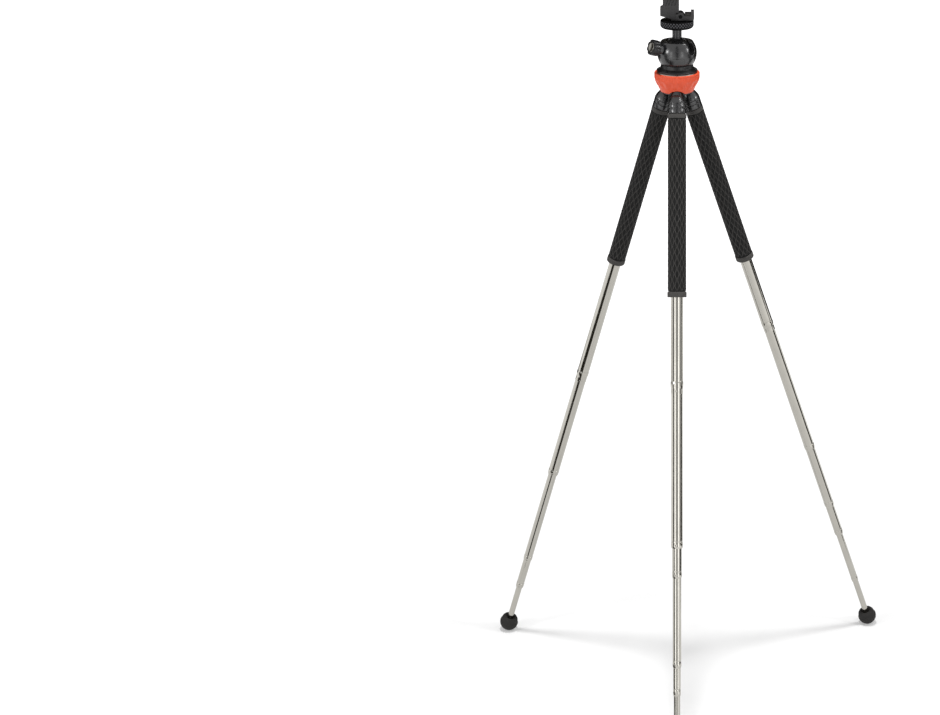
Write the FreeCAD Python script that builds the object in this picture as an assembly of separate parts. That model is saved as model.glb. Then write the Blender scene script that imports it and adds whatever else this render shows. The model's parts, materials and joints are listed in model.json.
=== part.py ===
import FreeCAD, Part
import os
from math import asin, atan2, cos, degrees, radians, sin, sqrt

# Travel tripod: three eight-part telescopic legs, a small ball head and a slim phone clamp.
# Millimetres, Z up. The origin is on the floor, in the middle of the feet's bounding box.
# Hub and head pieces are drawn with z = 0 at the height of the leg hinges.
# Leg pieces are drawn hanging down from their hinge, with s measured down the leg.

Vec = FreeCAD.Vector
UP = Vec(0, 0, 1)

# Stance
HINGE_HEIGHT = 518.6        # leg hinges above the floor as the tripod stands
HINGE_R = 8.8               # leg hinges from the hub's axis
FULL_DRAW = 125.0           # how far one tube slides out of the next
# Each leg: its heading, its lean, and the share of the full draw that tubes 1 to 6 are drawn out
LEGS = {
    "front": {"heading": -90.0, "lean": 19.25, "drawn": (0.601, 0.959, 0.0, 0.187, 0.563, 0.175)},
    "left": {"heading": 150.0, "lean": 17.91, "drawn": (0.930, 0.781, 0.0, 0.751, 0.243, 0.0)},
    "right": {"heading": 30.0, "lean": 20.32, "drawn": (0.573, 0.994, 0.504, 0.254, 0.0, 0.436)},
}

# Telescopic tubes, from the fixed sleeve (0) to the last tube (7)
TUBE_COUNT = 7
SLEEVE_D = 10.8             # the fixed sleeve inside the grip
FIRST_D = 9.8               # the first drawn tube
D_STEP = 0.78               # each tube is this much thinner than the last
WALL = 0.25
SLIDE_GAP = 0.045           # radial running gap at a tube's head and at a mouth
HEAD_LENGTH = 5.0           # the flared head that rides in the outer tube
MOUTH_LENGTH = 4.5          # the drawn-in mouth that rides on the inner tube
MOUTH_ROUND = 0.35          # chamfer round a mouth's rim
MOUTH_TAPER = 1.25          # length over which the sleeve draws in to its mouth
GROOVE_UP = 5.4             # the rolled groove above a mouth's rim
FIRST_GROOVE_UP = 10.0      # the first drawn tube has a second groove
GROOVE_DEPTH = 0.12
GROOVE_HALF = 0.45
SLEEVE_TOP = 11.0           # down the leg to the sleeve's upper end
SLEEVE_END = 158.7          # down the leg to the sleeve's mouth
FIRST_LENGTH = 140.0        # the first drawn tube
LENGTH_STEP = 0.8           # each tube is this much shorter than the last

# Leg cap, whose eye turns on the hinge pin
CAP_D = 14.4
CAP_END = 16.8
CAP_CROWN = 3.1             # down the leg to where the bell begins below the neck
CAP_NECK_D = 9.0            # the round neck between the eye and the bell
CAP_BELL = (                # radius and distance down the leg of points on the bell
    (5.35, 4.5),
    (6.3, 6.5),
    (6.95, 8.2),
)
CAP_BEAD_TOP = 10.0
CAP_BEAD_BOTTOM = 12.6
CAP_GROOVE = 0.7            # width of the grooves round the bead
CAP_GROOVE_DEPTH = 0.6
EYE_R = 3.8
EYE_THICK = 8.4
PIN_D = 2.5
PIN_LENGTH = 13.0
PIN_GAP = 0.05              # radial running gap of a pin or shaft in a hole

# Rubber grip, whose neck closes the gap below the cap
GRIP_NECK_D = 13.2
GRIP_NECK_LENGTH = 0.5
GRIP_TOP = CAP_END + GRIP_NECK_LENGTH
GRIP_D = 14.5
GRIP_RING_D = 14.9
GRIP_RING_LENGTH = 4.0
GRIP_COLLAR_D = 14.6
GRIP_COLLAR_LENGTH = 3.3

# Rubber foot, a ball below a chamfered collar
FOOT_R = 8.0
FOOT_TOP_UP = 6.0           # the foot's flat top above the middle of its ball
FOOT_LEDGE_UP = 0.8         # the ledge above the middle of the ball
FOOT_LEDGE = 0.4
FOOT_SHOULDER_UP = 4.2      # where the collar turns in to the foot's top
FOOT_SHOULDER_D = 13.8
FOOT_TOP_D = 11.4
FOOT_SOCKET = 8.0           # how deep the last tube sits in the foot
FOOT_RECESS_D = 8.6
FOOT_RECESS = 1.8
FOOT_GAP = 0.5              # between the foot and the tube above when pushed in

# Hub
HUB_RIM_R = 17.6
HUB_TOP = 13.7
HUB_SIDE_LOW = 9.2          # lower end of the upright rim
HUB_LOW_R = 12.2            # the skirt's line at the lower end of the core
HUB_LOW = -2.6
SKIRT_LOW = -1.3            # lower end of the orange cover's skirt
HUB_WALL = 1.2
HUB_TOP_WALL = 1.6
HUB_RIM_ROUND = 0.5
ARCH_R = 7.6                # the arched notch over each leg
ARCH_Z = -6.1
SLOT_GAP = 0.35             # between a leg's eye and its slot in the core
BOLT_D = 4.0
BOLT_HEAD_D = 7.0
BOLT_HEAD = 2.6
BOLT_HEAD_GAP = 0.1
BOLT_SET_IN = 0.15          # the bolt's head above the hub's lower end
BOLT_TOP_GAP = 1.5          # the bolt's end below the ball
HEX_ACROSS = 3.0
HEX_DEPTH = 1.5

# Pan washer and flange of the ball head
PLATE_GAP = 0.1             # running gap between plates that turn on each other
WASHER_R = 15.7
WASHER_THICK = 0.5
FLANGE_R = 15.85
FLANGE_RIM = 1.3
FLANGE_CHAMFER = 0.4
FLANGE_TOP = 20.2
FLANGE_NECK_LOW = 17.4
SEAT_LOW = 16.4             # ledge inside the flange that the ball's seat stands on
FLANGE_FLOOR = 15.3         # inside of the flange round the bolt, below the ledge

# Ball head
BALL_Z = 28.8
BALL_R = 11.8
BALL_GAP = 0.06
HOUSING_WALL = 3.44
HOUSING_R = BALL_R + BALL_GAP + HOUSING_WALL
HOUSING_TOP_UP = 9.3        # flat ring above the ball's middle
OPENING_R = 8.2
BALL_FLAT_UP = 11.3
SEAT_TOP_UP = -5.0
NOTCH_HEADING = -39.0
NOTCH_R = 3.6
NOTCH_UP = 3.6              # middle of the notch's round end above the ball's middle
PANEL_WIDTH = 12.0          # raised panel on the housing's lower front
PANEL_LOW_UP = -8.0
PANEL_HIGH_UP = -1.8
PANEL_PROUD = 0.35
PANEL_ROUND = 1.6

# Stem with its quarter inch stud
STEM_D = 7.2
STEM_SPIGOT_D = 5.0
STEM_SPIGOT = 8.0
STEM_FLAT = 0.5
STEM_SHOULDER = 1.0         # the stem's shoulder below the lock disc
STUD_D = 6.35
STUD_TOP = 58.3
DISC_LOW = 48.4
DISC_THICK = 5.8
DISC_R = 13.0
DISC_ROUND = 2.2
DISC_EDGE = 0.4

# Lock knob, measured from the ball's middle along the knob's axis
KNOB_HEADING = 210.0
KNOB_RISE = 16.5
BOSS_R = 4.0
BOSS_FAR = HOUSING_R + 2.4
KNOB_NEAR = HOUSING_R + 2.7
KNOB_LENGTH = 6.0
KNOB_FAR = KNOB_NEAR + KNOB_LENGTH
KNOB_R = 6.1
KNOB_LOBES = 8
KNOB_LOBE_R = 1.5
KNOB_LOBE_CUT = 0.75
KNOB_CAP_R = 3.85
KNOB_CAP_RIM = 0.5
KNOB_CAP_DEPTH = 0.9
KNOB_CAP_DISH = 0.5
SCREW_R = 2.0
SHOE_R = 1.7
SHOE_LENGTH = 1.6
SHOE_GAP = 0.1

# Phone clamp, seen from the side with the phone towards +X
CLAMP_HALF = 5.5            # half the clamp's width along Y
BLOCK_HALF = 3.9
BLOCK_LEFT = -4.4
BLOCK_RIGHT = 5.4
BLOCK_TOP = 59.3
BLOCK_GAP = 0.3             # base block above the knurled disc
STUD_HOLE_OVER = 0.3        # the stud's hole beyond the end of the stud
CHEEK_GAP = 0.2
PIVOT_X = 2.6
PIVOT_Z = 57.6
CHEEK_R = 3.0
PIVOT_PIN_D = 3.0
PIVOT_PIN_SEAT = 0.4        # how deep a pin sits in the base block
PIVOT_PIN_SET_IN = 0.6      # a pin's end below the side of the cheek
COLUMN_BACK = -10.9
COLUMN_FRONT = 1.6
COLUMN_TOP = 117.7
WEDGE_BACK = -12.9
WEDGE_CORNER_Z = 58.4
WEDGE_TOP_Z = 63.9
WEDGE_LOW_X = -1.4
WEDGE_LOW_Z = 55.2
CHEEK_SPLIT_X = -0.9        # where the lower jaw meets the column
CHEEK_SPLIT_Z = 60.8
RECESS_LEFT = -5.2
RECESS_TOP = 61.6
ARM_LOW = 54.8
ARM_TOP = 58.3
JAW_END = 13.1
LIP_THICK = 2.4
LIP_TOP = 61.2
PAD_THICK = 1.2
PAD_LEFT = 6.0
CHANNEL_BACK = -8.7
CHANNEL_FRONT = -1.1
CHANNEL_HALF = 3.5
CHANNEL_LOW = 63.7
BAR_GAP = 0.2
BAR_LOW = 72.7
BAR_BORE_R = 2.3
SPRING_R = 2.0
SPRING_WIRE = 0.6
SPRING_TOP = 108.7
JAW_REST_GAP = 0.2
UPPER_ARM_THICK = 5.6
UPPER_LIP_LOW = 114.9
JAW_ROUND = 1.0
RIB_COUNT = 4
RIB_PITCH = 2.2
RIB_WIDTH = 0.9
RIB_DEPTH = 0.5
RIB_SLANT = 25.0
RIB_FIRST_X = -9.0
RIB_LOW_Z = 66.7
RIB_HEIGHT = 6.0


def revolve(points):
    """Turn a closed outline of (radius, height) points about the Z axis."""
    wire = Part.makePolygon([Vec(r, 0, z) for r, z in points + [points[0]]])
    return Part.Face(wire).revolve(Vec(0, 0, 0), UP, 360)


def revolve_edges(edges):
    """Turn a closed outline of edges in the XZ plane about the Z axis."""
    wire = Part.Wire(Part.__sortEdges__(edges))
    return Part.Face(wire).revolve(Vec(0, 0, 0), UP, 360)


def line(a, b):
    """A straight edge between two (radius, height) points."""
    return Part.makeLine(Vec(a[0], 0, a[1]), Vec(b[0], 0, b[1]))


def arc(a, b, centre_z, radius):
    """The arc from a to b of a circle centred on the Z axis."""
    first = atan2(a[1] - centre_z, a[0])
    last = atan2(b[1] - centre_z, b[0])
    middle = (first + last) / 2
    mid = Vec(radius * cos(middle), 0, centre_z + radius * sin(middle))
    return Part.Arc(Vec(a[0], 0, a[1]), mid, Vec(b[0], 0, b[1])).toShape()


def side_plate(points, half_width):
    """A plate of the outline (x, z), 2 * half_width wide along Y."""
    wire = Part.makePolygon([Vec(x, -half_width, z) for x, z in points + [points[0]]])
    return Part.Face(wire).extrude(Vec(0, 2 * half_width, 0))


def block(low, high):
    """A block between two opposite corners."""
    size = [b - a for a, b in zip(low, high)]
    return Part.makeBox(size[0], size[1], size[2], Vec(*low))


def cross_cylinder(radius, x, z, y_low, y_high):
    """A cylinder along Y."""
    return Part.makeCylinder(radius, y_high - y_low, Vec(x, y_low, z), Vec(0, 1, 0))


def turned(shape, heading):
    """A copy of the shape turned about the Z axis."""
    copy = shape.copy()
    copy.rotate(Vec(0, 0, 0), UP, heading)
    return copy


# Sizes along a leg

def tube_d(index):
    """Outer diameter of a tube, where 0 is the fixed sleeve."""
    return SLEEVE_D if index == 0 else FIRST_D - (index - 1) * D_STEP


def bore_r(index):
    """Inner radius of a tube between its head and its mouth."""
    return tube_d(index) / 2 - WALL


def mouth_r(index):
    """Inner radius of a tube's mouth, which rides on the next tube."""
    return tube_d(index + 1) / 2 + SLIDE_GAP


def foot_middle(leg):
    """Down the leg to the middle of the foot's ball, so that the ball stands on the floor."""
    return (HINGE_HEIGHT - FOOT_R) / cos(radians(leg["lean"]))


def drawn(leg):
    """How far each tube is drawn out. The last ones take what is left, down to the floor."""
    draws = [share * FULL_DRAW for share in leg["drawn"]] + [0.0]
    foot_top = foot_middle(leg) - FOOT_TOP_UP
    left_over = foot_top - FOOT_GAP - SLEEVE_END - sum(draws)
    for index in reversed(range(TUBE_COUNT)):
        kept = min(FULL_DRAW, max(0.0, draws[index] + left_over))
        left_over -= kept - draws[index]
        draws[index] = kept
    return draws


def mouth_at(leg, index):
    """Down the leg to a tube's rim, where 0 is the fixed sleeve."""
    rim = SLEEVE_END + sum(drawn(leg)[:index])
    if index == TUBE_COUNT:
        rim += FOOT_GAP + FOOT_SOCKET
    return rim


def tube_length(index):
    """Length of a drawn tube. The last one also fills its socket in the foot."""
    length = FIRST_LENGTH - (index - 1) * LENGTH_STEP
    if index == TUBE_COUNT:
        length += FOOT_GAP + FOOT_SOCKET
    return length


def folded_lean():
    """The least lean, at which the pushed-in legs' feet just clear each other."""
    feet_r = (FOOT_R + FOOT_GAP / 2) / sin(radians(60))
    folded_foot = SLEEVE_END + FOOT_GAP + FOOT_TOP_UP
    return degrees(asin((feet_r - HINGE_R) / folded_foot))


def heading_vector(heading):
    return Vec(cos(radians(heading)), sin(radians(heading)), 0)


def foot_point(leg):
    """The middle of a foot's ball, from the hub's axis."""
    reach = HINGE_R + foot_middle(leg) * sin(radians(leg["lean"]))
    return heading_vector(leg["heading"]) * reach


def hub_offset():
    """Where the hub's axis stands, so that the feet's bounding box is centred on the origin."""
    points = [foot_point(leg) for leg in LEGS.values()]
    xs = [p.x for p in points]
    ys = [p.y for p in points]
    return Vec(-(min(xs) + max(xs)) / 2, -(min(ys) + max(ys)) / 2, HINGE_HEIGHT)


def hinge_point(leg):
    """A leg's hinge in the part's own frame."""
    return hub_offset() + heading_vector(leg["heading"]) * HINGE_R


def leg_direction(leg):
    """Unit vector down the leg, in the part's own frame."""
    lean = radians(leg["lean"])
    return heading_vector(leg["heading"]) * sin(lean) - UP * cos(lean)


def stand(shape, leg):
    """Hang a leg piece from its hinge at the leg's lean and heading."""
    lean = FreeCAD.Rotation(Vec(0, 1, 0), -leg["lean"])
    turn = FreeCAD.Rotation(UP, leg["heading"])
    shape.Placement = FreeCAD.Placement(hinge_point(leg), turn.multiply(lean))
    return shape


def lift(shape):
    """Put a hub or head piece on the hub's axis."""
    shape.Placement = FreeCAD.Placement(hub_offset(), FreeCAD.Rotation()).multiply(shape.Placement)
    return shape


# Leg pieces

def groove(radius, middle):
    """The V of a rolled groove round a tube, as outline points going down."""
    return [(radius, middle + GROOVE_HALF), (radius - GROOVE_DEPTH, middle), (radius, middle - GROOVE_HALF)]


def leg_cap():
    """The hinged cap: an eye on a round neck, a bell, a bead, and a socket for the sleeve."""
    r = CAP_D / 2
    groove_r = r - CAP_GROOVE_DEPTH
    neck = CAP_NECK_D / 2
    bell_low = -CAP_BEAD_TOP + CAP_GROOVE
    curve = Part.BSplineCurve()
    on_bell = [Vec(radius, 0, -down) for radius, down in CAP_BELL]
    curve.interpolate([Vec(neck, 0, -CAP_CROWN)] + on_bell + [Vec(r, 0, bell_low)])
    steps = [
        (r, bell_low),
        (groove_r, bell_low),
        (groove_r, -CAP_BEAD_TOP),
        (r, -CAP_BEAD_TOP),
        (r, -CAP_BEAD_BOTTOM),
        (groove_r, -CAP_BEAD_BOTTOM),
        (groove_r, -CAP_BEAD_BOTTOM - CAP_GROOVE),
        (r, -CAP_BEAD_BOTTOM - CAP_GROOVE),
        (r, -CAP_END),
        (SLEEVE_D / 2, -CAP_END),
        (SLEEVE_D / 2, -SLEEVE_TOP),
        (0, -SLEEVE_TOP),
        (0, -CAP_CROWN),
        (neck, -CAP_CROWN),
    ]
    body = revolve_edges([curve.toShape()] + [line(a, b) for a, b in zip(steps, steps[1:])])
    half = EYE_THICK / 2
    eye = cross_cylinder(EYE_R, 0, 0, -half, half)
    tongue = block((-EYE_R, -half, -CAP_CROWN), (EYE_R, half, 0))
    eye = eye.fuse(tongue).common(Part.makeCylinder(neck, CAP_CROWN + EYE_R, Vec(0, 0, -CAP_CROWN)))
    hole = cross_cylinder(PIN_D / 2 + PIN_GAP, 0, 0, -half, half)
    return body.fuse(eye).cut(hole).removeSplitter()


def leg_sleeve():
    """The fixed steel sleeve in the grip, drawn in at its mouth."""
    r = SLEEVE_D / 2
    inner = bore_r(0)
    mouth = mouth_r(0)
    return revolve([
        (inner, -SLEEVE_TOP),
        (r, -SLEEVE_TOP),
        (r, -SLEEVE_END),
        (mouth, -SLEEVE_END),
        (mouth, -SLEEVE_END + MOUTH_LENGTH),
        (inner, -SLEEVE_END + MOUTH_LENGTH + MOUTH_TAPER),
    ])


def leg_grip():
    """The rubber grip over the sleeve, with a neck and a collar at the top and a ring at the bottom."""
    return revolve([
        (SLEEVE_D / 2, -CAP_END),
        (GRIP_NECK_D / 2, -CAP_END),
        (GRIP_NECK_D / 2, -GRIP_TOP),
        (GRIP_COLLAR_D / 2, -GRIP_TOP),
        (GRIP_COLLAR_D / 2, -GRIP_TOP - GRIP_COLLAR_LENGTH),
        (GRIP_D / 2, -GRIP_TOP - GRIP_COLLAR_LENGTH),
        (GRIP_D / 2, -SLEEVE_END + GRIP_RING_LENGTH),
        (GRIP_RING_D / 2, -SLEEVE_END + GRIP_RING_LENGTH - MOUTH_ROUND),
        (GRIP_RING_D / 2, -SLEEVE_END + MOUTH_ROUND),
        (GRIP_RING_D / 2 - MOUTH_ROUND, -SLEEVE_END),
        (SLEEVE_D / 2, -SLEEVE_END),
    ])


def drawn_tube(leg, index):
    """One sliding tube: a flared head, a thin wall, a rolled groove and a drawn-in mouth."""
    r = tube_d(index) / 2
    inner = bore_r(index)
    head_r = bore_r(index - 1) - SLIDE_GAP
    rim = -mouth_at(leg, index)
    top = rim + tube_length(index)
    outside = [(inner, top), (head_r, top), (head_r, top - HEAD_LENGTH), (r, top - HEAD_LENGTH)]
    if index == TUBE_COUNT:
        return revolve(outside + [(r, rim), (inner, rim)])
    mouth = mouth_r(index)
    if index == 1:
        outside += groove(r, rim + FIRST_GROOVE_UP)
    return revolve(outside + groove(r, rim + GROOVE_UP) + [
        (r, rim + MOUTH_ROUND),
        (r - MOUTH_ROUND / 2, rim),
        (mouth, rim),
        (mouth, rim + MOUTH_LENGTH),
        (inner, rim + MOUTH_LENGTH),
    ])


def foot(leg):
    """The rubber foot: a ball, a ledge, a chamfered top and a socket for the last tube."""
    middle = -foot_middle(leg)
    tube_r = tube_d(TUBE_COUNT) / 2
    top = middle + FOOT_TOP_UP
    ledge = middle + FOOT_LEDGE_UP
    bottom = middle - FOOT_R
    recess_r = FOOT_RECESS_D / 2
    ball = arc((0, bottom), (FOOT_R, middle), middle, FOOT_R)
    steps = [
        (FOOT_R, middle),
        (FOOT_R, ledge),
        (FOOT_R - FOOT_LEDGE, ledge),
        (FOOT_SHOULDER_D / 2, middle + FOOT_SHOULDER_UP),
        (FOOT_TOP_D / 2, top),
        (recess_r, top),
        (tube_r, top - FOOT_RECESS),
        (tube_r, top - FOOT_SOCKET),
        (0, top - FOOT_SOCKET),
        (0, bottom),
    ]
    return revolve_edges([ball] + [line(a, b) for a, b in zip(steps, steps[1:])])


# Hub pieces

def hub_shell():
    """The orange cover: a rim, a tapered skirt and an arched notch over each leg."""
    inner_top = HUB_TOP - HUB_TOP_WALL
    side_in = HUB_RIM_R - HUB_WALL
    taper = (HUB_RIM_R - HUB_LOW_R) / (HUB_SIDE_LOW - HUB_LOW)
    skirt_r = HUB_LOW_R + taper * (SKIRT_LOW - HUB_LOW)
    shell = revolve([
        (BOLT_D / 2 + BOLT_HEAD_GAP, HUB_TOP),
        (HUB_RIM_R - HUB_RIM_ROUND, HUB_TOP),
        (HUB_RIM_R, HUB_TOP - HUB_RIM_ROUND),
        (HUB_RIM_R, HUB_SIDE_LOW),
        (skirt_r, SKIRT_LOW),
        (skirt_r - HUB_WALL, SKIRT_LOW),
        (side_in, HUB_SIDE_LOW),
        (side_in, inner_top),
        (BOLT_D / 2 + BOLT_HEAD_GAP, inner_top),
    ])
    arch = Part.makeCylinder(ARCH_R, HUB_RIM_R, Vec(HINGE_R, 0, ARCH_Z), Vec(1, 0, 0))
    return shell.cut([turned(arch, leg["heading"]) for leg in LEGS.values()])


def hub_core():
    """The black core under the cover, with a slot and two pin seats for each leg."""
    inner_top = HUB_TOP - HUB_TOP_WALL
    core = revolve([
        (BOLT_D / 2 + PIN_GAP, inner_top),
        (HUB_RIM_R - HUB_WALL, inner_top),
        (HUB_RIM_R - HUB_WALL, HUB_SIDE_LOW),
        (HUB_LOW_R - HUB_WALL, HUB_LOW),
        (BOLT_HEAD_D / 2 + BOLT_HEAD_GAP, HUB_LOW),
        (BOLT_HEAD_D / 2 + BOLT_HEAD_GAP, HUB_LOW + BOLT_HEAD),
        (BOLT_D / 2 + PIN_GAP, HUB_LOW + BOLT_HEAD),
    ])
    half = EYE_THICK / 2 + SLOT_GAP
    reach = EYE_R + SLOT_GAP
    slot = block((HINGE_R - reach, -half, HUB_LOW - reach), (HUB_RIM_R + reach, half, 0))
    slot = slot.fuse(cross_cylinder(reach, HINGE_R, 0, -half, half))
    slot = slot.fuse(block((HINGE_R, -half, 0), (HUB_RIM_R + reach, half, reach)))
    seat = cross_cylinder(PIN_D / 2, HINGE_R, 0, -PIN_LENGTH / 2, PIN_LENGTH / 2)
    cuts = [turned(tool, leg["heading"]) for leg in LEGS.values() for tool in (slot, seat)]
    return core.cut(cuts)


def leg_pins():
    """Three steel hinge pins, one across each slot."""
    pin = cross_cylinder(PIN_D / 2, HINGE_R, 0, -PIN_LENGTH / 2, PIN_LENGTH / 2)
    return Part.makeCompound([turned(pin, leg["heading"]) for leg in LEGS.values()])


def washer_top():
    return HUB_TOP + WASHER_THICK


def pan_washer():
    """The bright ring under the ball head's flange."""
    r = BOLT_D / 2 + BOLT_HEAD_GAP
    return revolve([
        (r, HUB_TOP),
        (WASHER_R, HUB_TOP),
        (WASHER_R - WASHER_THICK / 2, washer_top()),
        (r, washer_top()),
    ])


def centre_bolt():
    """The hexagon socket bolt that holds the ball head on the hub and lets it turn."""
    low = HUB_LOW + BOLT_SET_IN
    shank_low = HUB_LOW + BOLT_HEAD - BOLT_HEAD_GAP
    seat = BALL_Z - BALL_R - BOLT_TOP_GAP
    bolt = revolve([
        (0, low),
        (BOLT_HEAD_D / 2, low),
        (BOLT_HEAD_D / 2, shank_low),
        (BOLT_D / 2, shank_low),
        (BOLT_D / 2, seat),
        (0, seat),
    ])
    corner = HEX_ACROSS / 2 / cos(radians(30))
    points = [Vec(corner * cos(radians(60 * i)), corner * sin(radians(60 * i)), low) for i in range(7)]
    socket = Part.Face(Part.makePolygon(points)).extrude(Vec(0, 0, HEX_DEPTH))
    return bolt.cut(socket)


# Ball head pieces

def base_flange():
    """The black flange that closes the housing from below, threaded on the centre bolt."""
    low = washer_top() + PLATE_GAP
    neck = sqrt(HOUSING_R ** 2 - (BALL_Z - FLANGE_TOP) ** 2)
    spigot = BALL_R + BALL_GAP
    bore = BOLT_D / 2
    return revolve([
        (bore, low),
        (FLANGE_R - FLANGE_CHAMFER, low),
        (FLANGE_R, low + FLANGE_CHAMFER),
        (FLANGE_R, low + FLANGE_RIM),
        (neck, FLANGE_NECK_LOW),
        (neck, FLANGE_TOP),
        (spigot, FLANGE_TOP),
        (spigot, SEAT_LOW),
        (bore, FLANGE_FLOOR),
    ])


def knob_axis():
    rise = radians(KNOB_RISE)
    return heading_vector(KNOB_HEADING) * cos(rise) + UP * sin(rise)


def ball_middle():
    return Vec(0, 0, BALL_Z)


def raised_panel():
    """The rounded panel on the lower front of the housing, as a patch of a larger ball."""
    low = BALL_Z + PANEL_LOW_UP
    high = BALL_Z + PANEL_HIGH_UP
    half = PANEL_WIDTH / 2
    window = block((-half, -2 * HOUSING_R, low), (half, 0, high))
    window = window.makeFillet(PANEL_ROUND, [e for e in window.Edges if abs(e.tangentAt(0).y) > 0.99])
    patch = Part.makeSphere(HOUSING_R + PANEL_PROUD, ball_middle())
    core = Part.makeSphere(HOUSING_R - PANEL_PROUD, ball_middle())
    return patch.common(window).cut(core)


def ball_housing():
    """The black ball housing: round outside, with an opening, a tilt notch and a screw boss."""
    top = BALL_Z + HOUSING_TOP_UP
    ring_r = sqrt(HOUSING_R ** 2 - HOUSING_TOP_UP ** 2)
    low_r = sqrt(HOUSING_R ** 2 - (BALL_Z - FLANGE_TOP) ** 2)
    cavity = BALL_R + BALL_GAP
    lip_z = BALL_Z + sqrt(cavity ** 2 - OPENING_R ** 2)
    outside = arc((low_r, FLANGE_TOP), (ring_r, top), BALL_Z, HOUSING_R)
    inside = arc((cavity, BALL_Z), (OPENING_R, lip_z), BALL_Z, cavity)
    edges = [
        outside,
        line((ring_r, top), (OPENING_R, top)),
        line((OPENING_R, top), (OPENING_R, lip_z)),
        inside,
        line((cavity, BALL_Z), (cavity, FLANGE_TOP)),
        line((cavity, FLANGE_TOP), (low_r, FLANGE_TOP)),
    ]
    housing = revolve_edges(edges)
    boss = Part.makeCylinder(BOSS_R, BOSS_FAR, ball_middle(), knob_axis())
    boss = boss.cut(Part.makeSphere(HOUSING_R - HOUSING_WALL / 2, ball_middle()))
    housing = housing.fuse([boss, raised_panel()])
    notch_z = BALL_Z + NOTCH_UP
    notch = Part.makeCylinder(NOTCH_R, 2 * HOUSING_R, Vec(0, 0, notch_z), Vec(1, 0, 0))
    notch = notch.fuse(block((0, -NOTCH_R, notch_z), (2 * HOUSING_R, NOTCH_R, top + NOTCH_R)))
    hole = Part.makeCylinder(SCREW_R + PIN_GAP, 2 * HOUSING_R, ball_middle(), knob_axis())
    return housing.cut([turned(notch, NOTCH_HEADING), hole])


def ball_seat():
    """The nylon cup that the ball rests in."""
    cavity = BALL_R + BALL_GAP
    top = BALL_Z + SEAT_TOP_UP
    rim_r = sqrt(cavity ** 2 - SEAT_TOP_UP ** 2)
    hole_r = BOLT_D
    hole_z = BALL_Z - sqrt(cavity ** 2 - hole_r ** 2)
    bowl = arc((hole_r, hole_z), (rim_r, top), BALL_Z, cavity)
    steps = [(rim_r, top), (cavity, top), (cavity, SEAT_LOW), (hole_r, SEAT_LOW), (hole_r, hole_z)]
    return revolve_edges([bowl] + [line(a, b) for a, b in zip(steps, steps[1:])])


def ball():
    """The steel ball, flat on top and bored for the stem's spigot."""
    body = Part.makeSphere(BALL_R, ball_middle())
    flat_z = BALL_Z + BALL_FLAT_UP
    top = block((-BALL_R, -BALL_R, flat_z), (BALL_R, BALL_R, flat_z + BALL_R))
    bore = Part.makeCylinder(STEM_SPIGOT_D / 2, STEM_SPIGOT, Vec(0, 0, flat_z - STEM_SPIGOT))
    return body.cut([top, bore])


def stem():
    """The stem with two wrench flats, ending in the quarter inch stud."""
    flat_z = BALL_Z + BALL_FLAT_UP
    shoulder = DISC_LOW - PLATE_GAP - STEM_SHOULDER
    body = revolve([
        (0, flat_z - STEM_SPIGOT),
        (STEM_SPIGOT_D / 2, flat_z - STEM_SPIGOT),
        (STEM_SPIGOT_D / 2, flat_z),
        (STEM_D / 2, flat_z),
        (STEM_D / 2, shoulder),
        (STUD_D / 2, shoulder),
        (STUD_D / 2, STUD_TOP - STEM_FLAT),
        (STUD_D / 2 - STEM_FLAT, STUD_TOP),
        (0, STUD_TOP),
    ])
    side = STEM_D / 2 - STEM_FLAT
    low, high = flat_z + 2 * STEM_FLAT, shoulder - STEM_FLAT
    flats = [block((-STEM_D, y, low), (STEM_D, y + STEM_D, high)) for y in (side, -side - STEM_D)]
    return body.cut(flats)


def knurled_disc():
    """The round lock nut on the stud, under the clamp."""
    bore = STUD_D / 2 + PIN_GAP
    top = DISC_LOW + DISC_THICK
    low_r = DISC_R - DISC_ROUND
    round_middle = Vec(low_r + DISC_ROUND * sin(radians(45)), 0, DISC_LOW + DISC_ROUND * (1 - cos(radians(45))))
    start, end = Vec(low_r, 0, DISC_LOW), Vec(DISC_R, 0, DISC_LOW + DISC_ROUND)
    corner = Part.Arc(start, round_middle, end).toShape()
    steps = [
        (DISC_R, DISC_LOW + DISC_ROUND),
        (DISC_R, top - DISC_EDGE),
        (DISC_R - DISC_EDGE, top),
        (bore, top),
        (bore, DISC_LOW),
        (low_r, DISC_LOW),
    ]
    return revolve_edges([corner] + [line(a, b) for a, b in zip(steps, steps[1:])])


def aim(shape):
    """Turn a piece drawn along +Z so that it lies along the lock knob's axis."""
    turn = FreeCAD.Rotation(UP, knob_axis())
    return shape.transformed(FreeCAD.Placement(ball_middle(), turn).toMatrix())


def lock_knob():
    """The lobed lock knob, with a recess for its bright cap."""
    body = Part.makeCylinder(KNOB_R, KNOB_LENGTH, Vec(0, 0, KNOB_NEAR))
    reach = KNOB_R + KNOB_LOBE_R - KNOB_LOBE_CUT
    flutes = []
    for index in range(KNOB_LOBES):
        turn = radians(360 / KNOB_LOBES * index)
        foot_of_flute = Vec(reach * cos(turn), reach * sin(turn), KNOB_NEAR)
        flutes.append(Part.makeCylinder(KNOB_LOBE_R, KNOB_LENGTH, foot_of_flute))
    recess = Part.makeCylinder(KNOB_CAP_R, KNOB_CAP_DEPTH, Vec(0, 0, KNOB_FAR - KNOB_CAP_DEPTH))
    bore = Part.makeCylinder(SCREW_R, KNOB_LENGTH - KNOB_CAP_DEPTH, Vec(0, 0, KNOB_NEAR))
    return aim(body.cut(flutes + [recess, bore]))


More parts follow.
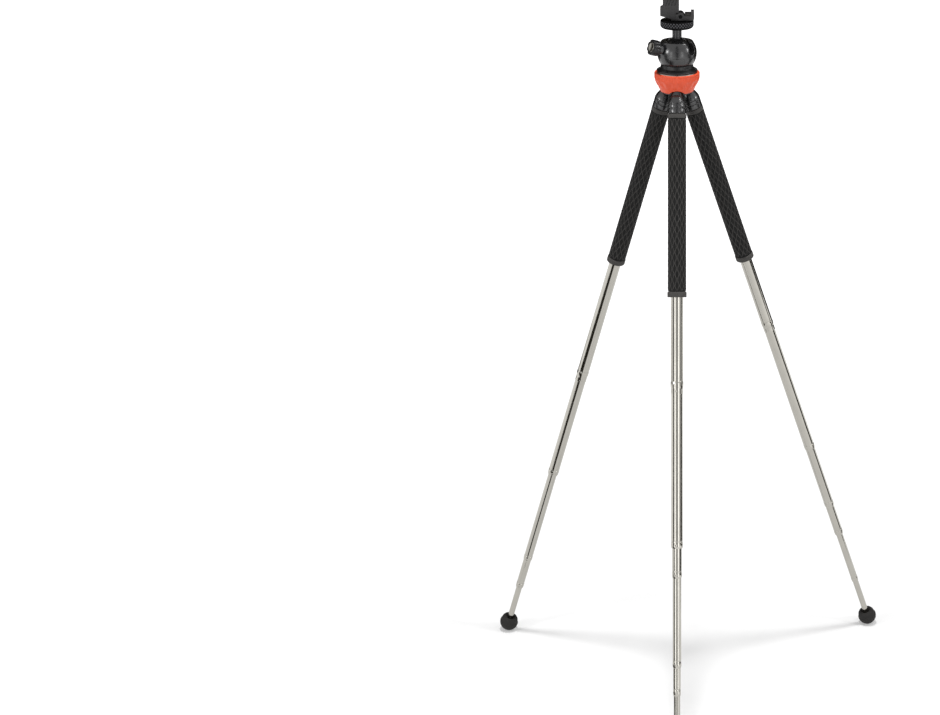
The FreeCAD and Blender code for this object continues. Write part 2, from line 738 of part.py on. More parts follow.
def knob_cap():
    """The bright dished cap in the knob's face."""
    low = KNOB_FAR - KNOB_CAP_DEPTH
    dish_r = KNOB_CAP_R - KNOB_CAP_RIM
    cap = Part.makeCylinder(KNOB_CAP_R, KNOB_CAP_DEPTH, Vec(0, 0, low))
    ball_r = (dish_r ** 2 + KNOB_CAP_DISH ** 2) / (2 * KNOB_CAP_DISH)
    dish = Part.makeSphere(ball_r, Vec(0, 0, KNOB_FAR - KNOB_CAP_DISH + ball_r))
    return aim(cap.cut(dish))


def lock_screw():
    """The steel screw from the knob through the housing to the brake shoe."""
    near = BALL_R + SHOE_GAP + SHOE_LENGTH + SHOE_GAP
    far = KNOB_FAR - KNOB_CAP_DEPTH
    return aim(Part.makeCylinder(SCREW_R, far - near, Vec(0, 0, near)))


def brake_shoe():
    """The nylon shoe that the screw presses on the ball."""
    near = BALL_R - SHOE_LENGTH
    far = BALL_R + SHOE_GAP + SHOE_LENGTH
    shoe = Part.makeCylinder(SHOE_R, far - near, Vec(0, 0, near))
    return aim(shoe.cut(Part.makeSphere(BALL_R + SHOE_GAP, Vec(0, 0, 0))))


# Phone clamp pieces

def clamp_base():
    """The base block: screwed on the stud, with the knuckle that the clamp tilts on."""
    low = DISC_LOW + DISC_THICK + BLOCK_GAP
    body = side_plate([
        (BLOCK_LEFT, low),
        (BLOCK_RIGHT, low),
        (BLOCK_RIGHT, PIVOT_Z),
        (BLOCK_RIGHT - JAW_ROUND, BLOCK_TOP),
        (BLOCK_LEFT + JAW_ROUND, BLOCK_TOP),
        (BLOCK_LEFT, BLOCK_TOP - JAW_ROUND),
    ], BLOCK_HALF)
    stud_hole = Part.makeCylinder(STUD_D / 2 + PIN_GAP, STUD_TOP + STUD_HOLE_OVER - low, Vec(0, 0, low))
    seats = [cross_cylinder(PIVOT_PIN_D / 2, PIVOT_X, PIVOT_Z, y, y + PIVOT_PIN_SEAT)
             for y in (-BLOCK_HALF, BLOCK_HALF - PIVOT_PIN_SEAT)]
    return body.cut([stud_hole] + seats)


def clamp_pins():
    """Two short pins, one each side of the base block."""
    outer = CLAMP_HALF - PIVOT_PIN_SET_IN
    length = outer - BLOCK_HALF + PIVOT_PIN_SEAT
    starts = (-outer, outer - length)
    return Part.makeCompound([cross_cylinder(PIVOT_PIN_D / 2, PIVOT_X, PIVOT_Z, y, y + length) for y in starts])


def clamp_column():
    """The clamp's column with its heel, the channel for the slider and slanted finger ribs."""
    shell = side_plate([
        (WEDGE_LOW_X, WEDGE_LOW_Z),
        (CHEEK_SPLIT_X, WEDGE_LOW_Z),
        (CHEEK_SPLIT_X, CHEEK_SPLIT_Z),
        (COLUMN_FRONT, CHEEK_SPLIT_Z),
        (COLUMN_FRONT, COLUMN_TOP),
        (COLUMN_BACK, COLUMN_TOP),
        (COLUMN_BACK, WEDGE_TOP_Z + JAW_ROUND),
        (WEDGE_BACK, WEDGE_TOP_Z),
        (WEDGE_BACK, WEDGE_CORNER_Z),
    ], CLAMP_HALF)
    inner = BLOCK_HALF + CHEEK_GAP
    recess = block((RECESS_LEFT, -inner, WEDGE_LOW_Z - JAW_ROUND), (COLUMN_FRONT, inner, RECESS_TOP))
    channel = block(
        (CHANNEL_BACK, -CHANNEL_HALF, CHANNEL_LOW), (CHANNEL_FRONT, CHANNEL_HALF, COLUMN_TOP))
    ribs = []
    for side in (-1, 1):
        y = side * CLAMP_HALF
        for index in range(RIB_COUNT):
            x = RIB_FIRST_X + index * RIB_PITCH
            rib = block((x, y - RIB_DEPTH, RIB_LOW_Z), (x + RIB_WIDTH, y + RIB_DEPTH, RIB_LOW_Z + RIB_HEIGHT))
            rib.rotate(Vec(x, y, RIB_LOW_Z), Vec(0, 1, 0), RIB_SLANT)
            ribs.append(rib)
    return shell.cut([recess, channel] + ribs)


def lower_jaw():
    """The lower jaw: two cheeks on the pins, a short arm and an upturned lip."""
    arm = side_plate([
        (CHEEK_SPLIT_X, WEDGE_LOW_Z),
        (PIVOT_X, ARM_LOW),
        (JAW_END - JAW_ROUND, ARM_LOW),
        (JAW_END, ARM_LOW + JAW_ROUND),
        (JAW_END, LIP_TOP),
        (JAW_END - LIP_THICK, LIP_TOP),
        (JAW_END - LIP_THICK, ARM_TOP),
        (PIVOT_X, ARM_TOP),
        (CHEEK_SPLIT_X, CHEEK_SPLIT_Z - JAW_ROUND),
    ], CLAMP_HALF)
    jaw = arm.fuse(cross_cylinder(CHEEK_R, PIVOT_X, PIVOT_Z, -CLAMP_HALF, CLAMP_HALF))
    inner = BLOCK_HALF + CHEEK_GAP
    recess = block(
        (CHEEK_SPLIT_X, -inner, ARM_LOW - JAW_ROUND), (BLOCK_RIGHT + 2 * CHEEK_GAP, inner, LIP_TOP))
    hole = cross_cylinder(PIVOT_PIN_D / 2 + PIN_GAP, PIVOT_X, PIVOT_Z, -CLAMP_HALF, CLAMP_HALF)
    return jaw.cut([recess, hole])


def lower_pad():
    """The rubber pad on the lower jaw."""
    return block((PAD_LEFT, -CLAMP_HALF, ARM_TOP), (JAW_END - LIP_THICK, CLAMP_HALF, ARM_TOP + PAD_THICK))


def jaw_low():
    """Underside of the upper jaw's arm."""
    return COLUMN_TOP + JAW_REST_GAP + PAD_THICK


def upper_jaw():
    """The sprung upper jaw: an arm with a lip, and a bar that slides in the column."""
    seat = COLUMN_TOP + JAW_REST_GAP
    top = jaw_low() + UPPER_ARM_THICK
    arm = side_plate([
        (COLUMN_BACK, seat),
        (COLUMN_FRONT, seat),
        (COLUMN_FRONT, jaw_low()),
        (JAW_END - LIP_THICK, jaw_low()),
        (JAW_END - LIP_THICK, UPPER_LIP_LOW),
        (JAW_END, UPPER_LIP_LOW),
        (JAW_END, top - 2 * JAW_ROUND),
        (JAW_END - 2 * JAW_ROUND, top),
        (COLUMN_BACK + 2 * JAW_ROUND, top),
        (COLUMN_BACK, top - 2 * JAW_ROUND),
    ], CLAMP_HALF)
    half = CHANNEL_HALF - BAR_GAP
    bar = block((CHANNEL_BACK + BAR_GAP, -half, BAR_LOW), (CHANNEL_FRONT - BAR_GAP, half, seat))
    bore = Part.makeCylinder(BAR_BORE_R, SPRING_TOP - BAR_LOW, Vec(bar_x(), 0, BAR_LOW))
    return arm.fuse(bar).cut(bore).removeSplitter()


def bar_x():
    return (CHANNEL_BACK + CHANNEL_FRONT) / 2


def upper_pad():
    """The rubber pad under the upper jaw."""
    seat = jaw_low() - PAD_THICK
    return block((COLUMN_FRONT + BAR_GAP, -CLAMP_HALF, seat), (JAW_END - LIP_THICK, CLAMP_HALF, jaw_low()))


def jaw_spring():
    """The tension spring inside the bar, as a closed-wound tube from the channel's floor."""
    outer = Part.makeCylinder(SPRING_R, SPRING_TOP - CHANNEL_LOW, Vec(bar_x(), 0, CHANNEL_LOW))
    inner = Part.makeCylinder(SPRING_R - SPRING_WIRE, SPRING_TOP - CHANNEL_LOW, Vec(bar_x(), 0, CHANNEL_LOW))
    return outer.cut(inner)


def build():
    """All pieces by node name, in the part's own frame."""
    pieces = {}
    for maker in (hub_shell, hub_core, leg_pins, pan_washer, centre_bolt, base_flange, ball_housing,
                  ball_seat, ball, stem, knurled_disc, lock_knob, knob_cap, lock_screw, brake_shoe,
                  clamp_base, clamp_pins, clamp_column, lower_jaw, lower_pad, upper_jaw, upper_pad,
                  jaw_spring):
        pieces[maker.__name__] = lift(maker())
    for name, leg in LEGS.items():
        pieces[f"{name}_leg_cap"] = stand(leg_cap(), leg)
        pieces[f"{name}_leg_sleeve"] = stand(leg_sleeve(), leg)
        pieces[f"{name}_leg_grip"] = stand(leg_grip(), leg)
        for index in range(1, TUBE_COUNT + 1):
            pieces[f"{name}_leg_tube_{index}"] = stand(drawn_tube(leg, index), leg)
        pieces[f"{name}_leg_foot"] = stand(foot(leg), leg)
    return pieces


def main():
    os.makedirs("parts", exist_ok=True)
    for node, shape in build().items():
        if not shape.isValid():
            print("not a valid solid:", node)
        shape.exportStep(f"parts/{node}.step")
    print("hub axis at", [round(v, 3) for v in hub_offset()], "least lean", round(folded_lean(), 3))
    for name, leg in LEGS.items():
        print(name, "leg drawn", [round(v, 1) for v in drawn(leg)], "foot at", round(foot_middle(leg), 1))


if __name__ == "__main__":
    main()
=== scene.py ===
import json
from math import atan2, cos, exp, floor, pi, radians, sin, sqrt

import bmesh
import bpy
from bpy.props import FloatProperty, FloatVectorProperty, IntProperty, PointerProperty
from bpy.types import Operator, Panel, PropertyGroup
from mathutils import Matrix, Vector


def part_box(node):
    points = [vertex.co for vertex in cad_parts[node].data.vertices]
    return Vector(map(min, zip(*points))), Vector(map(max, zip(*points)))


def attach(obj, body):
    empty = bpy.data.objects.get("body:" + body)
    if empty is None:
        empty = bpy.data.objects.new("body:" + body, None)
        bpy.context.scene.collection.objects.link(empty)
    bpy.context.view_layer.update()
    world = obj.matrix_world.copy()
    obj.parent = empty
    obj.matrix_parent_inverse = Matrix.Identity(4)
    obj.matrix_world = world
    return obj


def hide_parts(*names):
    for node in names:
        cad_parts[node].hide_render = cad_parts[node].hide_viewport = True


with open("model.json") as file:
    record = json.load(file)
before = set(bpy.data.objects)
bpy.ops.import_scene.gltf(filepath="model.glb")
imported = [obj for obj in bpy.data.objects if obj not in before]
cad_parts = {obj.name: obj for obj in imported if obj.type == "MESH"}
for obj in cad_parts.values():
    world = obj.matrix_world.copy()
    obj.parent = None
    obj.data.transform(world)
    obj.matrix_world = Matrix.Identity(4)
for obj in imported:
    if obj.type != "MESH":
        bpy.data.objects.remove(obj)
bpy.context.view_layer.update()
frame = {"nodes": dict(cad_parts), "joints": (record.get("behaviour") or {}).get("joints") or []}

bl_info = {
    "name": "Travel tripod",
    "version": (1, 0, 0),
    "blender": (4, 5, 0),
    "location": "View3D > Sidebar > Tripod",
    "description": "Dresses a travel tripod with telescopic legs, a ball head and a phone clamp",
    "category": "Object",
}

# Metres, Z up. Hub, head and clamp pieces stand on the hub's axis.
# Leg pieces are made in their leg's own frame: Z runs up the leg, and the hinge is at zero.

MM = 0.001
JOINTS = {joint["name"]: joint for joint in frame["joints"]}
LEGS = ("front", "left", "right")
TUBES = range(1, 8)
HUB_AXIS = Vector(JOINTS["head_pan"]["pos_m"])
BALL_MIDDLE = Vector(JOINTS["ball_tilt"]["pos_m"])
HINGE_HEIGHT = JOINTS["front_leg_spread"]["pos_m"][2]
ON_AXIS = 1e-7                  # radius below which a turned point is on the axis
CURVE_SHARE = 0.45              # most of a side that the curve at one of its ends takes up

# Softened copies of CAD pieces
WELD = 0.002 * MM
FLAT_ANGLE = 1.0                # degrees, below which faces are joined again
ROUND_ANGLE = 35.0              # degrees, above which an edge is rounded
ROUND_STEPS = 3
MOULDINGS = {                   # body, finish and width of the rounding in mm
    "ball_housing": ("head", "gloss_black", 0.4),
    "base_flange": ("head", "base_black", 0.3),
    "stem": ("ball", "black_metal", 0.2),
    "front_leg_cap": ("front_leg", "gloss_black", 0.25),
    "left_leg_cap": ("left_leg", "gloss_black", 0.25),
    "right_leg_cap": ("right_leg", "gloss_black", 0.25),
    "clamp_base": ("clamp_base", "black_plastic", 0.35),
    "clamp_column": ("clamp", "black_plastic", 0.35),
    "lower_jaw": ("clamp", "black_plastic", 0.35),
    "lower_pad": ("clamp", "black_rubber", 0.25),
    "upper_jaw": ("upper_jaw", "black_plastic", 0.35),
    "upper_pad": ("upper_jaw", "black_rubber", 0.25),
}

# Telescopic tubes
WALL = 0.25 * MM
SLIDE_GAP = 0.045 * MM
HEAD_LENGTH = 5.0 * MM
GROOVE_UP = 5.4 * MM            # the rolled groove above a mouth's rim
FIRST_GROOVE_UP = 10.0 * MM     # the second groove of the first drawn tube
GROOVE_DEPTH = 0.14 * MM
GROOVE_HALF = 0.45 * MM
GROOVE_STEPS = 8
BAND_SWELL = 0.14 * MM          # the band between the groove and the rim stands out a little
BAND_ROOM = 0.11 * MM           # the bore widens behind the rim, for the next tube's band
RIM_ROUND = 0.4 * MM
RIM_BEVEL = 1.0 * MM            # bright bevel from a band down to the next tube
NECK_WALL = 0.16 * MM           # the first tube's neck beyond its mouth
DIMPLES = 3                     # pressed dimples round each band
DIMPLE_TURN = -11.0             # degrees from the leg's outer side
DIMPLE_UP = 2.4 * MM
DIMPLE_R = 0.62 * MM
DIMPLE_REACH = 3.0              # in radii of a dimple, beyond which the wall is untouched
DIMPLE_DEPTH = 0.3 * MM
FIRST_DIMPLE_DEPTH = 0.14 * MM  # on the first tube's neck
BORE_PRESS = 0.10 * MM          # how far a dimple stands into the bore
TUBE_SEGMENTS = 96
FINE_ROW = 0.3 * MM

# Grips
GRIP_COLLAR = 3.3 * MM
GRIP_COLLAR_R = 7.3 * MM
GRIP_NECK = 0.5 * MM
GRIP_NECK_R = 6.6 * MM
GRIP_RING = 4.0 * MM
GRIP_RING_R = 7.45 * MM
GRIP_BODY_R = 6.6 * MM          # the grip between its scales
GRIP_RING_ROUND = 0.5 * MM
GRIP_COLLAR_ROUND = 0.3 * MM
GRIP_LIP = 0.2 * MM             # slope below the collar
GRIP_PLAIN = 0.6 * MM           # between the end ring and the scales
GRIP_SEGMENTS = 168
GRIP_ROW = 0.35 * MM
RIDGE_AT = 0.80                 # a scale's ridge, as a share of its half width
RIDGE_WIDTH = 0.22
SCALE_HOLLOW = 0.55             # how high the hollow is at a scale's side
SCALE_SLOPE = 0.25              # how much higher it is at a scale's lower end
SCALE_TIP = 0.55                # height of a scale's upper end, as a share of its lower end's
SCALE_NARROWEST = 0.05          # least half width, in columns
SCALE_FADE = 6.0                # how soon a scale is at its full height behind its tip
SCALE_DARK = 0.15 * MM          # height up to which a scale is all dark, painted shade in the hollows
SCALE_PALE = 0.6 * MM           # height from which it is all pale, a painted highlight on the ridges

# Feet
FOOT_TOP_UP = 6.0 * MM
FOOT_LEDGE_UP = 0.8 * MM
FOOT_LEDGE = 0.4 * MM
FOOT_LEDGE_RISE = 0.2 * MM
FOOT_SHOULDER_UP = 4.2 * MM
FOOT_SHOULDER_R = 6.9 * MM
FOOT_TOP_R = 5.7 * MM
FOOT_RECESS_R = 4.3 * MM
FOOT_RECESS = 1.8 * MM
FOOT_ROUND = 0.25 * MM
FOOT_SEGMENTS = 96
FOOT_ROWS = 24

# Hub cover
HUB_RIM = 4.5 * MM              # height of its upright rim
HUB_LOW_R = 12.795 * MM
HUB_WALL = 1.2 * MM
HUB_TOP_WALL = 1.6 * MM
HUB_HOLE_R = 2.1 * MM
HUB_ROUND = 0.6 * MM
HUB_ROW = 0.5 * MM
HUB_SEGMENTS = 360
HUB_PLAIN = 0.3 * MM            # no relief this near the cover's upper and lower ends
ARCH_R = 7.74 * MM              # clears the leg caps at both ends of their swing
ARCH_DROP = 6.1 * MM            # middle of an arch below the hinges
ARCH_SEGMENTS = 96
RIB_COUNT = 52
RIB_RISE = 0.3 * MM
RIB_EASE = 0.4 * MM             # the ribs fade below the rim over this height
RIB_TOP_EASE = 1.0 * MM         # and towards the top over this one
PAD_COUNT = 15                  # soft pads round the skirt, below the ribs
PAD_RISE = 0.45 * MM
PAD_DROP = 3.4 * MM             # middle of the pads below the ribs' lower end
PAD_HALF = 2.6 * MM

# Lock disc
DISC_SEGMENTS = 576
DISC_ROUND = 2.2 * MM
DISC_EDGE = 0.4 * MM
DISC_ROW = 0.2 * MM
DISC_BEND_ROWS = 9
STUD_R = 3.225 * MM
KNURL_IN = 0.55 * DISC_ROUND    # how far the knurl reaches onto the round lower edge
KNURL_EASE = 0.3 * DISC_ROUND   # and over how much of that it grows
KNURL_DARK = 0.34 * MM          # depth from which the knurl is all dark, painted shade in its hollows
KNURL_PALE = 0.18 * MM          # depth where the painted shade starts

# Lock knob
KNOB_LOBES = 8
KNOB_FLUTE = 0.75 * MM
KNOB_FLUTE_POWER = 0.8
KNOB_PLAIN = 0.1 * MM           # no flutes this near the cap
KNOB_ROUND = 0.7 * MM
KNOB_ROUND_STEPS = 6
KNOB_SEGMENTS = 320
SCREW_R = 2.0 * MM
CAP_R = 3.85 * MM
CAP_DEPTH = 0.9 * MM
CAP_DISH = 0.5 * MM
CAP_RIM = 0.5 * MM
CAP_ROUND = 0.15 * MM
CAP_RINGS = 36                  # fine turned rings
CAP_RIPPLE = 0.012 * MM
CAP_SEGMENTS = 96

# Stage
FLOOR_REACH = 6.0
GLOW_FROM = 0.25                # the floor's own light grows between these two distances
GLOW_TO = 1.6
CARD_AWAY = 1.4
CARD_UP = 0.002                 # floor cards above the floor
UPRIGHT_CARDS = {               # first and last heading, lower and upper end
    "card_front": (-7, 7, 0.0, 2.2),
    "card_left": (-82, -60, 0.0, 0.62),
    "card_right": (66, 92, 0.0, 0.62),
    "card_far_left": (-168, -112, 0.0, 1.8),
    "card_far_right": (112, 168, 0.0, 1.8),
    "card_back": (166, 194, 0.6, 1.6),
}
FLOOR_CARDS = {                 # corners on the floor
    "card_floor_left": (
        (-1.30, -0.20), (-1.30, -0.62), (-0.25, -0.55), (-0.18, -0.10),
        (-0.17, 0.04), (-0.215, 0.045), (-0.34, -0.09), (-0.62, -0.09)),
    "card_floor_right": (
        (0.30, 0.08), (0.75, -0.02), (1.35, -0.25), (1.35, 0.65), (0.95, 0.42), (0.36, 0.14)),
}
AIM_LOW = Vector((0.0, 0.0, 0.35))
AIM_HEAD = Vector((HUB_AXIS.x, HUB_AXIS.y, 0.56))
LAMPS = {                       # power setting, width, height, place, target, seen in gloss
    "soft_box_left": ("box_light", 0.24, 0.34, (-1.38, -0.76, 0.84), AIM_HEAD, True),
    "soft_box_right": ("box_light", 0.24, 0.34, (1.55, -0.44, 1.05), AIM_HEAD, True),
    "key_light": ("key_light", 0.16, 0.16, (0.80, -0.15, 1.60), AIM_HEAD, True),
    "strip_left": ("strip_light", 0.30, 0.80, (-0.85228862, -1.17307464, 0.50), AIM_LOW, True),
    "strip_right": ("strip_light", 0.30, 0.80, (0.74680521, -1.24289259, 0.50), AIM_LOW, True),
    "top_light": ("top_light", 0.11, 0.11, (-0.035, -0.075, 1.80), AIM_LOW, False),
}
SENSOR = 36.0                   # width of the camera's sensor in mm
CLIP_END = 50.0

# Finishes
BEVEL_SAMPLES = 6
EDGE_FROM = 0.995               # cosine of the bend at which an edge starts to look worn
EDGE_TO = 0.80                  # and at which it is fully worn
WORN_GAIN = 1.6                 # a worn edge's colour is this many times as pale
WORN_LIFT = 0.02                # plus this much
TOP_FROM = 0.3                  # upward part of the normal where the painted shadow of the clamp on the disc's top starts
TOP_TO = 0.9

# Finishes that are made so far, and the finish of each CAD node that does not take its slot's finish
FINISHES = {}
NODE_FINISH = {"clamp_pins": "pin_black"}


class TripodColours(PropertyGroup):
    """Colours of the tripod's finishes."""
    orange: FloatVectorProperty(
        name="Hub", description="Colour of the hub cover", subtype="COLOR", size=4,
        min=0.0, max=1.0, default=(0.82, 0.092, 0.030, 1.0))
    gloss: FloatVectorProperty(
        name="Gloss black", description="Colour of the ball head and the leg caps", subtype="COLOR",
        size=4, min=0.0, max=1.0, default=(0.010, 0.010, 0.011, 1.0))
    plastic: FloatVectorProperty(
        name="Clamp", description="Colour of the matt clamp", subtype="COLOR", size=4,
        min=0.0, max=1.0, default=(0.034, 0.033, 0.034, 1.0))
    metal: FloatVectorProperty(
        name="Black metal", description="Colour of the stem, the ball and the lock disc", subtype="COLOR",
        size=4, min=0.0, max=1.0, default=(0.014, 0.014, 0.015, 1.0))
    rubber: FloatVectorProperty(
        name="Rubber", description="Colour of the grips and feet", subtype="COLOR", size=4,
        min=0.0, max=1.0, default=(0.022, 0.021, 0.020, 1.0))
    steel: FloatVectorProperty(
        name="Steel", description="Tint of the polished tubes", subtype="COLOR", size=4,
        min=0.0, max=1.0, default=(0.455, 0.44, 0.40, 1.0))
    nylon: FloatVectorProperty(
        name="Nylon", description="Colour of the ball's seat and brake shoe", subtype="COLOR",
        size=4, min=0.0, max=1.0, default=(0.72, 0.70, 0.64, 1.0))


class TripodDetail(PropertyGroup):
    """Sizes of the pattern on the grips and the lock disc."""
    scale_width: FloatProperty(
        name="Scale width", description="Width of one scale of the grips", unit="LENGTH",
        min=0.001, default=0.0043)
    scale_length: FloatProperty(
        name="Scale length", description="Length of one scale of the grips", unit="LENGTH",
        min=0.002, default=0.0086)
    scale_rise: FloatProperty(
        name="Scale rise", description="How far a scale stands out of the grip", unit="LENGTH",
        min=0.0, default=0.0007)
    knurl_count: IntProperty(
        name="Knurls", description="Ridges round the lock disc", min=12, default=34)
    knurl_depth: FloatProperty(
        name="Knurl depth", description="Depth of the lock disc's ridges", unit="LENGTH",
        min=0.0, default=0.00045)


class TripodStage(PropertyGroup):
    """Camera and light."""
    lens: FloatProperty(
        name="Lens", description="Focal length on a 36 mm sensor", min=1.0, default=84.26)
    distance: FloatProperty(
        name="Distance", description="From the camera to the point that it turns about",
        unit="LENGTH", min=0.1, default=1.7883)
    pitch: FloatProperty(
        name="Pitch", description="How far the camera looks down", subtype="ANGLE",
        default=radians(21.15))
    shift: FloatProperty(
        name="Shift", description="Sideways shift of the picture", default=-0.2202)
    height: FloatProperty(
        name="Height", description="Height of the point that the camera turns about",
        unit="LENGTH", default=0.2951)
    box_light: FloatProperty(
        name="Soft boxes", description="Power of each of the two soft boxes", unit="POWER",
        min=0.0, default=6.0)
    strip_light: FloatProperty(
        name="Strip lights", description="Power of each of the two upright strips in front",
        unit="POWER", min=0.0, default=1.7)
    key_light: FloatProperty(
        name="Key light", description="Power of the small light above on the right", unit="POWER",
        min=0.0, default=2.4)
    top_light: FloatProperty(
        name="Top light", description="Power of the light overhead", unit="POWER",
        min=0.0, default=12.5)
    ambient: FloatProperty(
        name="Ambient", description="Strength of the light from all round", min=0.0, default=0.36)
    floor_glow: FloatProperty(
        name="Floor glow", description="Light of the floor itself below the tripod", min=0.0,
        default=0.26)


# Outlines and meshes

def rounded(points, radius, steps=4):
    """An open outline whose inner corners are turned into small curves."""
    corners = [Vector(point) for point in points]
    outline = [corners[0]]
    for before, corner, after in zip(corners, corners[1:], corners[2:]):
        back = before - corner
        on = after - corner
        start = corner + back * min(CURVE_SHARE, radius / back.length)
        end = corner + on * min(CURVE_SHARE, radius / on.length)
        for step in range(steps + 1):
            share = step / steps
            outline.append(start.lerp(corner, share).lerp(corner.lerp(end, share), share))
    outline.append(corners[-1])
    return outline


def resampled(outline, row):
    """The same outline with points about one row apart."""
    points = []
    for start, end in zip(outline, outline[1:]):
        count = max(1, round((end - start).length / row))
        points += [start.lerp(end, step / count) for step in range(count)]
    return points + [outline[-1]]


def arc(centre_z, radius, first, last, steps):
    """Points of an arc about a middle on the axis, between two angles in degrees from level."""
    angles = [radians(first + (last - first) * step / steps) for step in range(steps + 1)]
    return [Vector((radius * cos(a), centre_z + radius * sin(a))) for a in angles]


def divided(low, high, row):
    """Heights from low to high, about one row apart."""
    count = max(1, round(abs(high - low) / row))
    return [low + (high - low) * step / count for step in range(count + 1)]


def lathe(outline, segments, shift=None, closed=True):
    """A mesh turned about Z from (radius, height) points. shift gives a point's outward move."""
    bm = bmesh.new()
    turns = [2 * pi * index / segments for index in range(segments)]
    rings = []
    for r, z in outline:
        if r < ON_AXIS:
            rings.append([bm.verts.new((0, 0, z))])
            continue
        ring = []
        for turn in turns:
            out = r + (shift(turn, r, z) if shift else 0.0)
            ring.append(bm.verts.new((out * cos(turn), out * sin(turn), z)))
        rings.append(ring)
    pairs = list(zip(rings, rings[1:]))
    if closed and len(rings[0]) > 1 and len(rings[-1]) > 1:
        pairs.append((rings[-1], rings[0]))
    for low, high in pairs:
        if len(low) == 1 and len(high) == 1:
            continue
        for index in range(segments):
            after = (index + 1) % segments
            corners = [low[index % len(low)], low[after % len(low)],
                       high[after % len(high)], high[index % len(high)]]
            bm.faces.new(list(dict.fromkeys(corners)))
    bmesh.ops.recalc_face_normals(bm, faces=bm.faces)
    return bm


def temporary(bm):
    """A short-lived object for a modifier to work with."""
    mesh = bpy.data.meshes.new("temporary")
    bm.to_mesh(mesh)
    bm.free()
    helper = bpy.data.objects.new("temporary", mesh)
    bpy.context.scene.collection.objects.link(helper)
    return helper


def with_modifiers(helper, tools=()):
    """The mesh of a temporary object with its modifiers in place. The helpers are removed."""
    graph = bpy.context.evaluated_depsgraph_get()
    result = bmesh.new()
    result.from_mesh(helper.evaluated_get(graph).to_mesh())
    for used in (helper, *tools):
        mesh = used.data
        bpy.data.objects.remove(used)
        bpy.data.meshes.remove(mesh)
    return result


def cut(body, cutter):
    """The body with the cutter's shape taken out of it."""
    helper = temporary(body)
    tool = temporary(cutter)
    modifier = helper.modifiers.new("cut", "BOOLEAN")
    modifier.operation = "DIFFERENCE"
    modifier.solver = "EXACT"
    modifier.object = tool
    return with_modifiers(helper, [tool])


def softened(node, width):
    """A copy of a CAD node's mesh, welded, with its sharp edges rounded."""
    bm = bmesh.new()
    bm.from_mesh(frame["nodes"][node].data)
    bmesh.ops.remove_doubles(bm, verts=bm.verts, dist=WELD)
    bmesh.ops.dissolve_limit(bm, angle_limit=radians(FLAT_ANGLE), verts=bm.verts, edges=bm.edges)
    helper = temporary(bm)
    modifier = helper.modifiers.new("round", "BEVEL")
    modifier.width = width
    modifier.segments = ROUND_STEPS
    modifier.limit_method = "ANGLE"
    modifier.angle_limit = radians(ROUND_ANGLE)
    modifier.use_clamp_overlap = True
    return with_modifiers(helper)


def add_piece(name, bm, body, finish, nodes=(), place=None, sharp=40.0):
    """Put a mesh in the scene, riding on a body, in place of its CAD nodes, which are hidden.

    The finish is a slot of the record, or one made only here."""
    mesh = bpy.data.meshes.new(name)
    bm.to_mesh(mesh)
    bm.free()
    local = mesh.attributes.new("local", "FLOAT_VECTOR", "POINT")
    local.data.foreach_set("vector", [value for vertex in mesh.vertices for value in vertex.co])
    if place:
        mesh.transform(place)
    mesh.shade_smooth()
    mesh.set_sharp_from_angle(angle=radians(sharp))
    mesh.materials.append(finish_of(finish))
    piece = bpy.data.objects.new(name, mesh)
    bpy.context.scene.collection.objects.link(piece)
    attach(piece, body)
    if nodes:
        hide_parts(*nodes)
    return piece


# Places read from the frame

def leg_frame(leg):
    """From a leg's own frame to the part's frame."""
    hinge = JOINTS[f"{leg}_leg_spread"]
    up = -Vector(JOINTS[f"{leg}_draw_1"]["axis"])
    outward = up.cross(Vector(hinge["axis"]))
    place = Matrix((outward, up.cross(outward), up)).transposed().to_4x4()
    place.translation = Vector(hinge["pos_m"])
    return place


def span(node, place):
    """Radius and height of each point of a CAD node in a frame."""
    back = place.inverted()
    points = [back @ vertex.co for vertex in frame["nodes"][node].data.vertices]
    return [(sqrt(p.x ** 2 + p.y ** 2), p.z) for p in points]


def knob_frame():
    """From a frame with Z along the lock knob's axis to the part's frame."""
    axis = Vector(JOINTS["lock_knob_turn"]["axis"])
    place = axis.to_track_quat("Z", "Y").to_matrix().to_4x4()
    place.translation = BALL_MIDDLE
    return place


# Materials

def add_node(tree, kind, **inputs):
    """A shader node with some of its sockets set."""
    node = tree.nodes.new(kind)
    for socket, value in inputs.items():
        node.inputs[socket.replace("_", " ")].default_value = value
    return node


def maths(tree, kind, operation, *sources):
    """A math node that is fed by sockets."""
    node = tree.nodes.new(kind)
    node.operation = operation
    for socket, source in zip(node.inputs, sources):
        tree.links.new(source, socket)
    return node


def stored_places(tree):
    """Places on the surface in the mesh's own stored frame."""
    node = tree.nodes.new("ShaderNodeAttribute")
    node.attribute_name = "local"
    return node.outputs["Vector"]


def coordinates(tree, stored, stretch=(1.0, 1.0, 1.0)):
    """Places on the surface, from the mesh's own stored frame or from the part's frame."""
    if stored:
        socket = stored_places(tree)
    else:
        socket = tree.nodes.new("ShaderNodeTexCoord").outputs["Object"]
    mapping = add_node(tree, "ShaderNodeMapping", Scale=stretch)
    tree.links.new(socket, mapping.inputs["Vector"])
    return mapping.outputs["Vector"]


def noise(tree, where, scale, detail=2.0):
    """A noise over the surface, with its scale in turns per metre."""
    node = add_node(tree, "ShaderNodeTexNoise", Scale=scale, Detail=detail)
    tree.links.new(where, node.inputs["Vector"])
    return node.outputs["Fac"]


def between(tree, value, low, high, out_low, out_high):
    """A value mapped from one range to another and held inside it."""
    node = add_node(tree, "ShaderNodeMapRange", From_Min=low, From_Max=high, To_Min=out_low,
                    To_Max=out_high)
    tree.links.new(value, node.inputs["Value"])
    return node.outputs["Result"]


